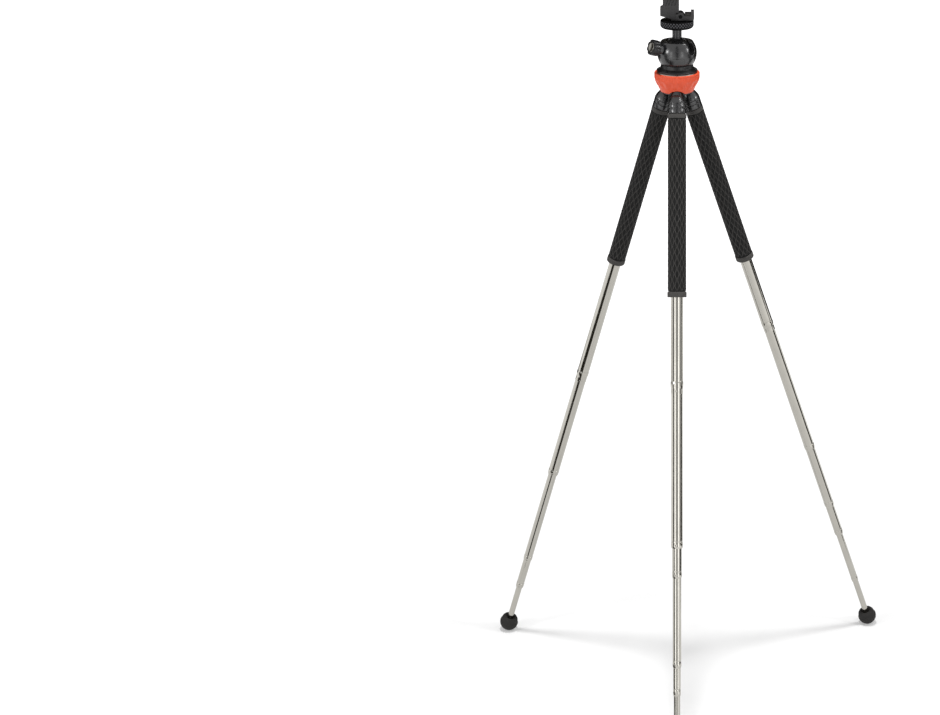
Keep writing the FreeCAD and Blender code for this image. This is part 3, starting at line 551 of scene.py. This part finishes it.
def mixed(tree, share, first, second):
    """A colour between two colours, each given as a colour or as a socket."""
    node = tree.nodes.new("ShaderNodeMix")
    node.data_type = "RGBA"
    tree.links.new(share, node.inputs["Factor"])
    sockets = [socket for socket in node.inputs if socket.type == "RGBA"]
    for socket, colour in zip(sockets, (first, second)):
        if hasattr(colour, "links"):
            tree.links.new(colour, socket)
        else:
            socket.default_value = colour
    return next(socket for socket in node.outputs if socket.type == "RGBA")


def shade(colour, factor):
    """A colour made lighter or darker."""
    return tuple(min(1.0, part * factor) for part in colour[:3]) + (1.0,)


def edge_share(tree, radius, strength):
    """How near a point is to an edge, and the normal with the edge softened."""
    bevel = add_node(tree, "ShaderNodeBevel", Radius=radius)
    bevel.samples = BEVEL_SAMPLES
    soft = bevel.outputs["Normal"]
    sharp = tree.nodes.new("ShaderNodeNewGeometry").outputs["Normal"]
    bend = maths(tree, "ShaderNodeVectorMath", "DOT_PRODUCT", soft, sharp)
    return between(tree, bend.outputs["Value"], EDGE_FROM, EDGE_TO, 0.0, strength), soft


def moulded(name, colour, roughness, grain=(2600.0, 0.02), mottle=(90.0, 0.10), wear=0.2,
            edge=0.25, gloss=0.5, stored=False):
    """A moulded or painted surface: mottled colour, fine grain, uneven gloss and paler edges.

    grain is its scale and its depth in mm, mottle its scale and strength, and edge the width
    of a worn edge in mm."""
    made = bpy.data.materials.new(name)
    made.use_nodes = True
    tree = made.node_tree
    shader = tree.nodes["Principled BSDF"]
    where = coordinates(tree, stored)
    cloud = noise(tree, where, mottle[0], 3.0)
    body = mixed(tree, cloud, shade(colour, 1 - mottle[1]), shade(colour, 1 + mottle[1]))
    worn, soft_normal = edge_share(tree, edge * MM, wear)
    lighter = tuple(min(1.0, part * WORN_GAIN + WORN_LIFT) for part in colour[:3]) + (1.0,)
    tree.links.new(mixed(tree, worn, body, lighter), shader.inputs["Base Color"])
    fine = noise(tree, where, grain[0], 2.0)
    rough = between(tree, fine, 0.3, 0.7, roughness - 0.05, roughness + 0.06)
    tree.links.new(rough, shader.inputs["Roughness"])
    bump = add_node(tree, "ShaderNodeBump", Strength=0.6, Distance=grain[1] * MM)
    tree.links.new(fine, bump.inputs["Height"])
    tree.links.new(soft_normal, bump.inputs["Normal"])
    tree.links.new(bump.outputs["Normal"], shader.inputs["Normal"])
    shader.inputs["Specular IOR Level"].default_value = gloss
    return made


def hollow_share(tree, low, high):
    """One at and below a radius about the piece's own axis, falling to nothing at a larger one."""
    flat = maths(tree, "ShaderNodeVectorMath", "MULTIPLY", stored_places(tree))
    flat.inputs[1].default_value = (1.0, 1.0, 0.0)
    radius = maths(tree, "ShaderNodeVectorMath", "LENGTH", flat.outputs["Vector"])
    return between(tree, radius.outputs["Value"], low, high, 1.0, 0.0)


def darken(made, share, dark):
    """Turn a material's colour towards a dark one by a share."""
    tree = made.node_tree
    socket = tree.nodes["Principled BSDF"].inputs["Base Color"]
    tree.links.new(mixed(tree, share, socket.links[0].from_socket, dark), socket)


def polished(name, colour, roughness, lines=(1.0, 1.0, 0.04), line_scale=2400.0, depth=0.004,
             stored=True):
    """Polished metal with fine drawing lines and faint cloudy streaks.

    lines stretches the drawing lines along the piece, and depth is their depth in mm."""
    made = bpy.data.materials.new(name)
    made.use_nodes = True
    tree = made.node_tree
    shader = tree.nodes["Principled BSDF"]
    where = coordinates(tree, stored)
    along = coordinates(tree, stored, lines)
    streak = noise(tree, along, line_scale, 3.0)
    cloud = noise(tree, where, 60.0, 2.0)
    body = mixed(tree, cloud, shade(colour, 0.90), shade(colour, 1.06))
    tree.links.new(body, shader.inputs["Base Color"])
    rough = between(tree, streak, 0.25, 0.75, roughness - 0.05, roughness + 0.07)
    tree.links.new(rough, shader.inputs["Roughness"])
    bump = add_node(tree, "ShaderNodeBump", Strength=0.5, Distance=depth * MM)
    tree.links.new(streak, bump.inputs["Height"])
    tree.links.new(bump.outputs["Normal"], shader.inputs["Normal"])
    shader.inputs["Metallic"].default_value = 1.0
    return made


def orange_plastic(colours):
    return moulded("Orange moulded plastic", colours.orange, 0.42, (1500.0, 0.015), (160.0, 0.06), 0.15)


def gloss_black(colours):
    return moulded("Gloss black plastic", colours.gloss, 0.24, (900.0, 0.004), (70.0, 0.2), 0.05, 0.35,
                   gloss=0.75)


def black_plastic(colours):
    return moulded("Matt black plastic", colours.plastic, 0.55, (3200.0, 0.03), (120.0, 0.12), 0.35, 0.3,
                   gloss=0.35)


def black_metal(colours):
    return moulded("Black coated metal", colours.metal, 0.26, (2800.0, 0.012), (120.0, 0.2), 0.3, 0.25)


def base_black(colours):
    return moulded("Satin black base", shade(colours.gloss, 0.7), 0.34, (900.0, 0.004), (70.0, 0.2), 0.05,
                   0.3, gloss=0.35)


def pin_black(colours):
    return moulded("Blackened pins", shade(colours.metal, 0.3), 0.5, (2800.0, 0.01), (120.0, 0.2), 0.0, 0.1,
                   gloss=0.1)


def disc_black(colours):
    """Black metal with a painted highlight on the knurl's ridges, painted shade in between, and a painted
    shadow of the clamp on top.
    """
    # The pale colour, 8x the black metal, is a painted highlight on the knurl's ridges.
    made = moulded("Knurled black metal", shade(colours.metal, 8.0), 0.42, (2800.0, 0.012),
                   (120.0, 0.2), 0.2, 0.2, gloss=0.06, stored=True)
    lowest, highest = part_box("knurled_disc")
    radius = (highest.x - lowest.x) / 2
    tree = made.node_tree
    # Painted shade in the knurl's hollows.
    darken(made, hollow_share(tree, radius - KNURL_DARK, radius - KNURL_PALE), shade(colours.metal, 0.1))
    # Painted shadow of the clamp on the disc's flat top, by how far the normal points up.
    normal = tree.nodes.new("ShaderNodeTexCoord").outputs["Normal"]
    parts = tree.nodes.new("ShaderNodeSeparateXYZ")
    tree.links.new(normal, parts.inputs["Vector"])
    darken(made, between(tree, parts.outputs["Z"], TOP_FROM, TOP_TO, 0.0, 1.0), shade(colours.metal, 0.1))
    return made


def black_rubber(colours):
    return moulded("Black rubber", colours.rubber, 0.70, (2400.0, 0.03), (200.0, 0.18), 0.3, 0.2,
                   gloss=0.25, stored=True)


def grip_rubber(colours):
    """Rubber with a painted highlight on the ridges of the scales and painted shade in their hollows."""
    # The pale colour is a painted highlight on everything that stands out of the grip.
    made = moulded("Grip rubber", shade(colours.rubber, 2.9), 0.62, (2400.0, 0.02), (200.0, 0.18), 0.0, 0.1,
                   gloss=0.22, stored=True)
    # Painted shade in the hollows between the scales.
    darken(made, hollow_share(made.node_tree, GRIP_BODY_R + SCALE_DARK, GRIP_BODY_R + SCALE_PALE),
           shade(colours.rubber, 0.15))
    return made


def polished_steel(colours):
    return polished("Polished steel tube", colours.steel, 0.12, depth=0.002)


def plain_steel(colours):
    return polished("Plain steel", shade(colours.steel, 0.8), 0.32, depth=0.008, stored=False)


def bright_metal(colours):
    return polished("Turned bright metal", shade(colours.steel, 0.68), 0.24, (0.05, 0.05, 1.0), 1800.0,
                    stored=False)


def nylon(colours):
    return moulded("Nylon", colours.nylon, 0.45, (1800.0, 0.01), (150.0, 0.05), 0.1)


RECIPES = {
    "orange_plastic": orange_plastic,
    "gloss_black": gloss_black,
    "black_plastic": black_plastic,
    "black_metal": black_metal,
    "black_rubber": black_rubber,
    "grip_rubber": grip_rubber,
    "base_black": base_black,
    "disc_black": disc_black,
    "pin_black": pin_black,
    "polished_steel": polished_steel,
    "plain_steel": plain_steel,
    "bright_metal": bright_metal,
    "nylon": nylon,
}


def finish_of(name):
    """The material for a finish, made when it is first asked for."""
    if name not in FINISHES:
        FINISHES[name] = RECIPES[name](bpy.context.scene.tripod_colours)
    return FINISHES[name]


# Leg pieces

def tube_sizes(leg, index):
    """Lower end, upper end, outer radius and head radius of a CAD tube, in its leg's frame."""
    points = span(f"{leg}_leg_tube_{index}", leg_frame(leg))
    low = min(z for r, z in points)
    high = max(z for r, z in points)
    outer = max(r for r, z in points if z < high - HEAD_LENGTH - FINE_ROW)
    return low, high, outer, max(r for r, z in points)


def swollen(radius, low, high):
    """Points up a band that swells a little between its two ends."""
    return [(radius + BAND_SWELL * sin(pi * (z - low) / (high - low)), z)
            for z in divided(low, high, FINE_ROW)]


def rolled_groove(radius, middle):
    """Points up a round groove."""
    turns = [pi * step / GROOVE_STEPS for step in range(1, GROOVE_STEPS)]
    points = [(radius - GROOVE_DEPTH * sin(turn), middle - GROOVE_HALF * cos(turn)) for turn in turns]
    return points + [(radius, middle + GROOVE_HALF)]


def band_outline(low, outer, mouth):
    """The outside of a tube's mouth, going up: a bevel, a swelling band and a rolled groove."""
    groove = low + GROOVE_UP
    points = [(mouth, low), (mouth + NECK_WALL / 2, low)]
    points += swollen(outer, low + RIM_BEVEL, groove - GROOVE_HALF)
    return points + rolled_groove(outer, groove)


def first_band_outline(low, outer, mouth):
    """The mouth of the first drawn tube: a narrow neck below the band."""
    neck = mouth + NECK_WALL
    step = low + GROOVE_UP
    groove = low + FIRST_GROOVE_UP
    points = [(mouth, low), (neck - NECK_WALL / 2, low)]
    points += [(neck, z) for z in divided(low + RIM_ROUND, step - RIM_BEVEL, FINE_ROW)]
    points += swollen(outer, step, groove - GROOVE_HALF)
    return points + rolled_groove(outer, groove)


def dimple_shift(low, bore, depth):
    """Pressed dimples evenly round a band. The wall is pressed in less at its bore."""
    middle = low + DIMPLE_UP
    step = 2 * pi / DIMPLES

    def shift(turn, r, z):
        off = (turn - radians(DIMPLE_TURN) + step / 2) % step - step / 2
        away = ((off * r) ** 2 + (z - middle) ** 2) / DIMPLE_R ** 2
        if away >= DIMPLE_REACH ** 2:
            return 0.0
        press = -depth * exp(-away ** 2)
        return max(press, -BORE_PRESS) if r < bore + SLIDE_GAP / 2 else press
    return shift


def add_tube(leg, index):
    """One sliding tube in place of its CAD node."""
    low, high, outer, head = tube_sizes(leg, index)
    inner = outer - WALL
    shoulder = high - HEAD_LENGTH
    if index == TUBES[-1]:
        outline = [(inner, low), (outer, low)]
        shift = None
    else:
        mouth = tube_sizes(leg, index + 1)[2] + SLIDE_GAP
        bore = mouth + BAND_ROOM
        if index == 1:
            outline = first_band_outline(low, outer, mouth)
            shift = dimple_shift(low, bore, FIRST_DIMPLE_DEPTH)
        else:
            outline = band_outline(low, outer, mouth)
            shift = dimple_shift(low, bore, DIMPLE_DEPTH)
    outline += [(outer, shoulder), (head, shoulder + RIM_ROUND), (head, high), (inner, high)]
    if index != TUBES[-1]:
        rows = divided(low + RIM_BEVEL, low + GROOVE_UP - GROOVE_HALF, FINE_ROW)
        outline += [(inner, low + GROOVE_UP)] + [(bore, z) for z in reversed(rows)]
        outline += [(mouth, low + RIM_BEVEL - RIM_ROUND)]
    mesh = lathe(outline, TUBE_SEGMENTS, shift)
    add_piece(f"{leg}_tube_{index}", mesh, f"{leg}_tube_{index}", "polished_steel",
              [f"{leg}_leg_tube_{index}"], leg_frame(leg))


def scale_shift(low, high, around, length, rise):
    """Pointed scales in staggered columns: a ridge round a hollow, thickest at the lower end."""
    def shift(turn, r, z):
        if not low < z < high:
            return 0.0
        column = turn / (2 * pi) * around * 2
        along = (z - low) / length
        base = floor(column)
        for this in (base, base + 1):
            level = (along - 0.5 * (this % 2)) % 1.0
            wide = 0.5 - 0.5 * cos(2 * pi * level)
            off = abs(column - this)
            if off <= wide:
                break
        share = off / max(wide, SCALE_NARROWEST)
        ridge = exp(-((share - RIDGE_AT) / RIDGE_WIDTH) ** 2)
        hollow = SCALE_HOLLOW * share ** 2 + SCALE_SLOPE * (1.0 - level)
        height = SCALE_TIP + (1.0 - SCALE_TIP) * (1.0 - level)
        crest = max(ridge, hollow) * height * min(1.0, SCALE_FADE * wide)
        ease = min(1.0, (z - low) / (2 * GRIP_ROW), (high - z) / (2 * GRIP_ROW))
        return rise * crest * ease
    return shift


def add_grip(leg, detail):
    """The rubber grip with its scales, collar and end ring."""
    points = span(f"{leg}_leg_grip", leg_frame(leg))
    low = min(z for r, z in points)
    high = max(z for r, z in points)
    bore = min(r for r, z in points)
    ring_top = low + GRIP_RING
    scales_low = ring_top + GRIP_PLAIN
    collar_high = high - GRIP_NECK
    collar_low = collar_high - GRIP_COLLAR
    ring = rounded([
        (bore, low),
        (GRIP_RING_R, low),
        (GRIP_RING_R, ring_top),
        (GRIP_BODY_R, ring_top + GRIP_RING_ROUND),
    ], GRIP_RING_ROUND)
    heights = divided(scales_low, collar_low - 2 * GRIP_LIP, GRIP_ROW)
    collar = rounded([
        (GRIP_BODY_R, collar_low - GRIP_LIP),
        (GRIP_COLLAR_R, collar_low),
        (GRIP_COLLAR_R, collar_high),
        (GRIP_NECK_R, collar_high),
        (GRIP_NECK_R, high),
        (bore, high),
    ], GRIP_COLLAR_ROUND)
    around = round(2 * pi * GRIP_COLLAR_R / detail.scale_width)
    shift = scale_shift(scales_low, collar_low - GRIP_COLLAR_ROUND, around, detail.scale_length,
                        detail.scale_rise)
    outline = ring + [Vector((GRIP_BODY_R, z)) for z in heights] + collar
    add_piece(f"{leg}_grip", lathe(outline, GRIP_SEGMENTS, shift), f"{leg}_leg", "grip_rubber",
              [f"{leg}_leg_grip"], leg_frame(leg), 60.0)


def add_foot(leg):
    """The rubber ball foot with its ledge, bevelled top and recess round the tube."""
    points = span(f"{leg}_leg_foot", leg_frame(leg))
    low = min(z for r, z in points)
    radius = max(r for r, z in points)
    middle = low + radius
    tube_r = tube_sizes(leg, TUBES[-1])[2]
    top = middle + FOOT_TOP_UP
    ledge = middle + FOOT_LEDGE_UP
    ball = arc(middle, radius, -90, 0, FOOT_ROWS)
    steps = rounded([
        (radius, middle),
        (radius, ledge),
        (radius - FOOT_LEDGE, ledge + FOOT_LEDGE_RISE),
        (FOOT_SHOULDER_R, middle + FOOT_SHOULDER_UP),
        (FOOT_TOP_R, top),
        (FOOT_RECESS_R, top),
        (tube_r, top - FOOT_RECESS),
        (tube_r, top - 2 * FOOT_RECESS),
    ], FOOT_ROUND)
    outline = [Vector((0, low))] + ball[1:] + steps[1:] + [Vector((0, top - 2 * FOOT_RECESS))]
    add_piece(f"{leg}_foot", lathe(outline, FOOT_SEGMENTS), f"{leg}_tube_{TUBES[-1]}", "black_rubber",
              [f"{leg}_leg_foot"], leg_frame(leg))


# Hub and head pieces

def arch_cutter(leg, rim_r):
    """A level cylinder through the cover's wall, where it arches over a leg."""
    hinge = Vector(JOINTS[f"{leg}_leg_spread"]["pos_m"])
    heading = atan2(hinge.y - HUB_AXIS.y, hinge.x - HUB_AXIS.x)
    place = (Matrix.Rotation(heading, 4, "Z") @ Matrix.Translation((1.5 * rim_r, 0, -ARCH_DROP))
             @ Matrix.Rotation(pi / 2, 4, "Y"))
    arch = bmesh.new()
    bmesh.ops.create_cone(arch, cap_ends=True, segments=ARCH_SEGMENTS, radius1=ARCH_R,
                          radius2=ARCH_R, depth=2 * rim_r, matrix=place)
    return arch


def add_hub_cover():
    """The orange cover: ribbed rim, tapered skirt and an arch over each leg."""
    lowest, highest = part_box("hub_shell")
    rim_r = (highest.x - lowest.x) / 2
    top = highest.z - HINGE_HEIGHT
    low = lowest.z - HINGE_HEIGHT
    rim_low = top - HUB_RIM
    outside = rounded([
        (HUB_HOLE_R, top),
        (rim_r, top),
        (rim_r, rim_low),
        (HUB_LOW_R, low),
        (HUB_LOW_R - HUB_WALL, low),
    ], HUB_ROUND)
    inside = [(rim_r - HUB_WALL, rim_low), (rim_r - HUB_WALL, top - HUB_TOP_WALL),
              (HUB_HOLE_R, top - HUB_TOP_WALL)]

    def relief(turn, r, z):
        if z > top - HUB_PLAIN or z < low + HUB_PLAIN:
            return 0.0
        if z > rim_low - RIB_EASE:
            if r < rim_r - RIB_EASE:
                return 0.0
            ease = min(1.0, (top - z) / RIB_TOP_EASE, (z - rim_low + RIB_EASE) / RIB_EASE)
            return -RIB_RISE * (0.5 - 0.5 * cos(turn * RIB_COUNT)) * ease
        if r < HUB_LOW_R:
            return 0.0
        across = (z - rim_low + PAD_DROP) / PAD_HALF
        return PAD_RISE * max(0.0, 1.0 - across ** 4) * cos(turn * PAD_COUNT)

    cover = lathe(resampled(outside, HUB_ROW) + inside, HUB_SEGMENTS, relief)
    for leg in LEGS:
        cover = cut(cover, arch_cutter(leg, rim_r))
    stand = Matrix.Translation((HUB_AXIS.x, HUB_AXIS.y, HINGE_HEIGHT))
    add_piece("hub_cover", cover, "hub", "orange_plastic", ["hub_shell"], stand, 30.0)


def add_lock_disc(detail):
    """The round lock nut with a crossed knurl round its side."""
    lowest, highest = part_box("knurled_disc")
    radius = (highest.x - lowest.x) / 2
    low = lowest.z
    high = highest.z
    side_low = low + DISC_ROUND
    out = Vector((radius - DISC_ROUND, 0))
    bend = [point + out for point in arc(side_low, DISC_ROUND, -90, 0, DISC_BEND_ROWS)]
    side = [Vector((radius, z)) for z in divided(side_low, high - DISC_EDGE, DISC_ROW)]
    top = [Vector((radius - DISC_EDGE, high)), Vector((STUD_R, high)), Vector((STUD_R, low))]
    count = detail.knurl_count
    pitch = 2 * pi * radius / count
    start = radius - KNURL_IN

    def knurl(turn, r, z):
        if r < start:
            return 0.0
        climb = (z - low) / pitch
        position = turn / (2 * pi) * count
        first = abs((position + climb) % 1.0 - 0.5) * 2
        second = abs((position - climb) % 1.0 - 0.5) * 2
        ease = min(1.0, (high - z) / DISC_EDGE, (r - start) / KNURL_EASE)
        return -detail.knurl_depth * max(first, second) * ease

    mesh = lathe(bend + side[1:] + top, DISC_SEGMENTS, knurl)
    place = Matrix.Translation((HUB_AXIS.x, HUB_AXIS.y, 0))
    add_piece("lock_disc", mesh, "disc", "disc_black", ["knurled_disc"], place, 50.0)


def add_lock_knob():
    """The lobed knob with rounded edges."""
    points = span("lock_knob", knob_frame())
    near = min(z for r, z in points)
    far = max(z for r, z in points)
    radius = max(r for r, z in points)
    edge = radius - KNOB_ROUND
    outline = rounded([(SCREW_R, near), (radius, near), (radius, far), (CAP_R, far)], KNOB_ROUND,
                      KNOB_ROUND_STEPS)
    outline += [Vector((CAP_R, far - CAP_DEPTH)), Vector((SCREW_R, far - CAP_DEPTH))]

    def flutes(turn, r, z):
        if r < CAP_R + KNOB_PLAIN:
            return 0.0
        wave = max(0.0, cos(turn * KNOB_LOBES)) ** KNOB_FLUTE_POWER
        return -KNOB_FLUTE * wave * min(1.0, (r - CAP_R) / (edge - CAP_R))

    mesh = lathe(outline, KNOB_SEGMENTS, flutes)
    add_piece("lobed_knob", mesh, "knob", "base_black", ["lock_knob"], knob_frame(), 50.0)


def add_knob_cap():
    """The bright dished cap, with fine turned rings."""
    points = span("knob_cap", knob_frame())
    face = max(z for r, z in points)
    low = min(z for r, z in points)
    dish_r = CAP_R - CAP_RIM
    ball_r = (dish_r ** 2 + CAP_DISH ** 2) / (2 * CAP_DISH)
    outline = [(0, low), (CAP_R, low), (CAP_R, face - CAP_ROUND), (CAP_R - CAP_ROUND, face), (dish_r, face)]
    for step in range(1, CAP_RINGS + 1):
        r = dish_r * (1 - step / CAP_RINGS)
        ripple = CAP_RIPPLE * (step % 2)
        outline.append((r, face - CAP_DISH + ball_r - sqrt(ball_r ** 2 - r ** 2) + ripple))
    mesh = lathe(outline, CAP_SEGMENTS, closed=False)
    add_piece("bright_cap", mesh, "knob", "bright_metal", ["knob_cap"], knob_frame(), 50.0)


# Stage

def plane(name, corners, material):
    """A flat sheet between its corners, as part of the stage."""
    mesh = bpy.data.meshes.new(name)
    mesh.from_pydata(corners, [], [range(len(corners))])
    mesh.materials.append(material)
    sheet = bpy.data.objects.new(name, mesh)
    bpy.context.scene.collection.objects.link(sheet)
    return sheet


def seen_share(tree):
    """One for rays from the camera, from gloss and through glass, and nothing for the rest."""
    path = tree.nodes.new("ShaderNodeLightPath")
    total = path.outputs["Is Camera Ray"]
    for other in ("Is Glossy Ray", "Is Transmission Ray"):
        total = maths(tree, "ShaderNodeMath", "MAXIMUM", total, path.outputs[other]).outputs[0]
    return total


def matt(name, colour, roughness):
    """A matt material for the stage."""
    made = bpy.data.materials.new(name)
    made.use_nodes = True
    shader = made.node_tree.nodes["Principled BSDF"]
    shader.inputs["Base Color"].default_value = colour
    shader.inputs["Roughness"].default_value = roughness
    shader.inputs["Specular IOR Level"].default_value = 0.0
    return made


def add_floor(stage):
    """The white floor, which keeps a soft shadow and is evenly white further out."""
    made = matt("White floor", (0.8, 0.8, 0.8, 1.0), 0.9)
    tree = made.node_tree
    where = tree.nodes.new("ShaderNodeTexCoord").outputs["Object"]
    away = maths(tree, "ShaderNodeVectorMath", "LENGTH", where)
    glow = between(tree, away.outputs["Value"], GLOW_FROM, GLOW_TO, stage.floor_glow, 1.0)
    light = maths(tree, "ShaderNodeMath", "MULTIPLY", glow, seen_share(tree))
    shader = tree.nodes["Principled BSDF"]
    shader.inputs["Emission Color"].default_value = (1.0, 1.0, 1.0, 1.0)
    tree.links.new(light.outputs[0], shader.inputs["Emission Strength"])
    corners = [(x * FLOOR_REACH, y * FLOOR_REACH, 0) for x, y in ((-1, -1), (1, -1), (1, 1), (-1, 1))]
    plane("floor", corners, made)


def add_card(name, material, corners):
    """A dark card, seen only in reflections, that gives polished metal its dark lines."""
    card = plane(name, corners, material)
    card.visible_camera = False
    card.visible_diffuse = False
    card.visible_shadow = False
    card.visible_transmission = False


def add_upright_card(name, material, first, last, low, high):
    """A card that stands between two headings, in degrees round from the camera's side."""
    ends = [Vector((sin(radians(h)), -cos(radians(h)), 0)) * CARD_AWAY for h in (first, last)]
    corners = [ends[0] + Vector((0, 0, low)), ends[1] + Vector((0, 0, low)),
               ends[1] + Vector((0, 0, high)), ends[0] + Vector((0, 0, high))]
    add_card(name, material, corners)


def add_cards():
    """The dark cards round the object and on the floor."""
    made = matt("Dark card", (0.03, 0.027, 0.02, 1.0), 1.0)
    for name, ends in UPRIGHT_CARDS.items():
        add_upright_card(name, made, *ends)
    for name, corners in FLOOR_CARDS.items():
        add_card(name, made, [(x, y, CARD_UP) for x, y in corners])


def add_lamp(name, power, width, height, place, target):
    """A soft area lamp that faces the target."""
    data = bpy.data.lights.new(name, "AREA")
    data.shape = "RECTANGLE"
    data.size = width
    data.size_y = height
    data.energy = power
    lamp = bpy.data.objects.new(name, data)
    lamp.location = place
    lamp.rotation_euler = (target - Vector(place)).to_track_quat("-Z", "Y").to_euler()
    bpy.context.scene.collection.objects.link(lamp)
    return lamp


def add_world(stage):
    """A world that is white where it is seen and a soft light elsewhere."""
    world = bpy.data.worlds.new("Studio")
    bpy.context.scene.world = world
    world.use_nodes = True
    tree = world.node_tree
    background = tree.nodes["Background"]
    background.inputs["Color"].default_value = (1.0, 1.0, 1.0, 1.0)
    strength = between(tree, seen_share(tree), 0.0, 1.0, stage.ambient, 1.0)
    tree.links.new(strength, background.inputs["Strength"])


def add_camera(stage):
    """The camera at the photograph's viewing angle."""
    data = bpy.data.cameras.new("camera")
    data.lens = stage.lens
    data.sensor_width = SENSOR
    data.shift_x = stage.shift
    data.clip_end = CLIP_END
    camera = bpy.data.objects.new("camera", data)
    target = Vector((HUB_AXIS.x, HUB_AXIS.y, stage.height))
    camera.location = target + Vector((0, -cos(stage.pitch), sin(stage.pitch))) * stage.distance
    camera.rotation_euler = (pi / 2 - stage.pitch, 0, 0)
    bpy.context.scene.collection.objects.link(camera)
    bpy.context.scene.camera = camera


# Operators

class TRIPOD_OT_tubes(Operator):
    """Make the telescopic tubes of the three legs"""
    bl_idname = "tripod.tubes"
    bl_label = "Telescopic tubes"

    def execute(self, context):
        for leg in LEGS:
            for index in TUBES:
                add_tube(leg, index)
        return {"FINISHED"}


class TRIPOD_OT_grips(Operator):
    """Make the rubber grips"""
    bl_idname = "tripod.grips"
    bl_label = "Grips"

    def execute(self, context):
        for leg in LEGS:
            add_grip(leg, context.scene.tripod_detail)
        return {"FINISHED"}


class TRIPOD_OT_feet(Operator):
    """Make the rubber feet"""
    bl_idname = "tripod.feet"
    bl_label = "Feet"

    def execute(self, context):
        for leg in LEGS:
            add_foot(leg)
        return {"FINISHED"}


class TRIPOD_OT_hub(Operator):
    """Make the orange hub cover"""
    bl_idname = "tripod.hub"
    bl_label = "Hub cover"

    def execute(self, context):
        add_hub_cover()
        return {"FINISHED"}


class TRIPOD_OT_lock_disc(Operator):
    """Make the knurled lock disc"""
    bl_idname = "tripod.lock_disc"
    bl_label = "Lock disc"

    def execute(self, context):
        add_lock_disc(context.scene.tripod_detail)
        return {"FINISHED"}


class TRIPOD_OT_lock_knob(Operator):
    """Make the lock knob and its bright cap"""
    bl_idname = "tripod.lock_knob"
    bl_label = "Lock knob"

    def execute(self, context):
        add_lock_knob()
        add_knob_cap()
        return {"FINISHED"}


class TRIPOD_OT_mouldings(Operator):
    """Make the head, the stem, the leg caps and the phone clamp with rounded edges"""
    bl_idname = "tripod.mouldings"
    bl_label = "Mouldings"

    def execute(self, context):
        for node, (body, finish, width) in MOULDINGS.items():
            add_piece(f"{node}_moulding", softened(node, width * MM), body, finish, [node], sharp=30.0)
        return {"FINISHED"}


class TRIPOD_OT_carried_over(Operator):
    """Give every CAD piece that stays its finish"""
    bl_idname = "tripod.carried_over"
    bl_label = "Carried over pieces"

    def execute(self, context):
        for name, node in frame["nodes"].items():
            for slot in node.material_slots:
                slot.material = finish_of(NODE_FINISH.get(name, slot.material.name))
        return {"FINISHED"}


class TRIPOD_OT_stage(Operator):
    """Set up the floor, lights, cards and camera"""
    bl_idname = "tripod.stage"
    bl_label = "Stage"

    def execute(self, context):
        stage = context.scene.tripod_stage
        add_floor(stage)
        add_cards()
        for name, (setting, width, height, place, target, glints) in LAMPS.items():
            lamp = add_lamp(name, getattr(stage, setting), width, height, place, target)
            lamp.visible_glossy = glints
        add_world(stage)
        add_camera(stage)
        context.scene.view_settings.view_transform = "Standard"
        return {"FINISHED"}


STEPS = (
    TRIPOD_OT_carried_over,
    TRIPOD_OT_tubes,
    TRIPOD_OT_grips,
    TRIPOD_OT_feet,
    TRIPOD_OT_hub,
    TRIPOD_OT_lock_disc,
    TRIPOD_OT_lock_knob,
    TRIPOD_OT_mouldings,
    TRIPOD_OT_stage,
)


class TRIPOD_PT_panel(Panel):
    """The tripod's steps and settings"""
    bl_idname = "TRIPOD_PT_panel"
    bl_label = "Travel tripod"
    bl_space_type = "VIEW_3D"
    bl_region_type = "UI"
    bl_category = "Tripod"

    def draw(self, context):
        for step in STEPS:
            self.layout.operator(step.bl_idname)
        for name in GROUPS:
            group = getattr(context.scene, name)
            box = self.layout.box()
            for setting in group.__annotations__:
                box.prop(group, setting)


GROUPS = {
    "tripod_colours": TripodColours,
    "tripod_detail": TripodDetail,
    "tripod_stage": TripodStage,
}


def register():
    for kind in (*GROUPS.values(), *STEPS, TRIPOD_PT_panel):
        bpy.utils.register_class(kind)
    for name, kind in GROUPS.items():
        setattr(bpy.types.Scene, name, PointerProperty(type=kind))


def unregister():
    for name in GROUPS:
        delattr(bpy.types.Scene, name)
    for kind in (TRIPOD_PT_panel, *reversed(STEPS), *reversed(GROUPS.values())):
        bpy.utils.unregister_class(kind)


def main():
    """Make everything, one step after another."""
    register()
    for step in STEPS:
        group, name = step.bl_idname.split(".")
        getattr(getattr(bpy.ops, group), name)()


if __name__ == "__main__":
    main()
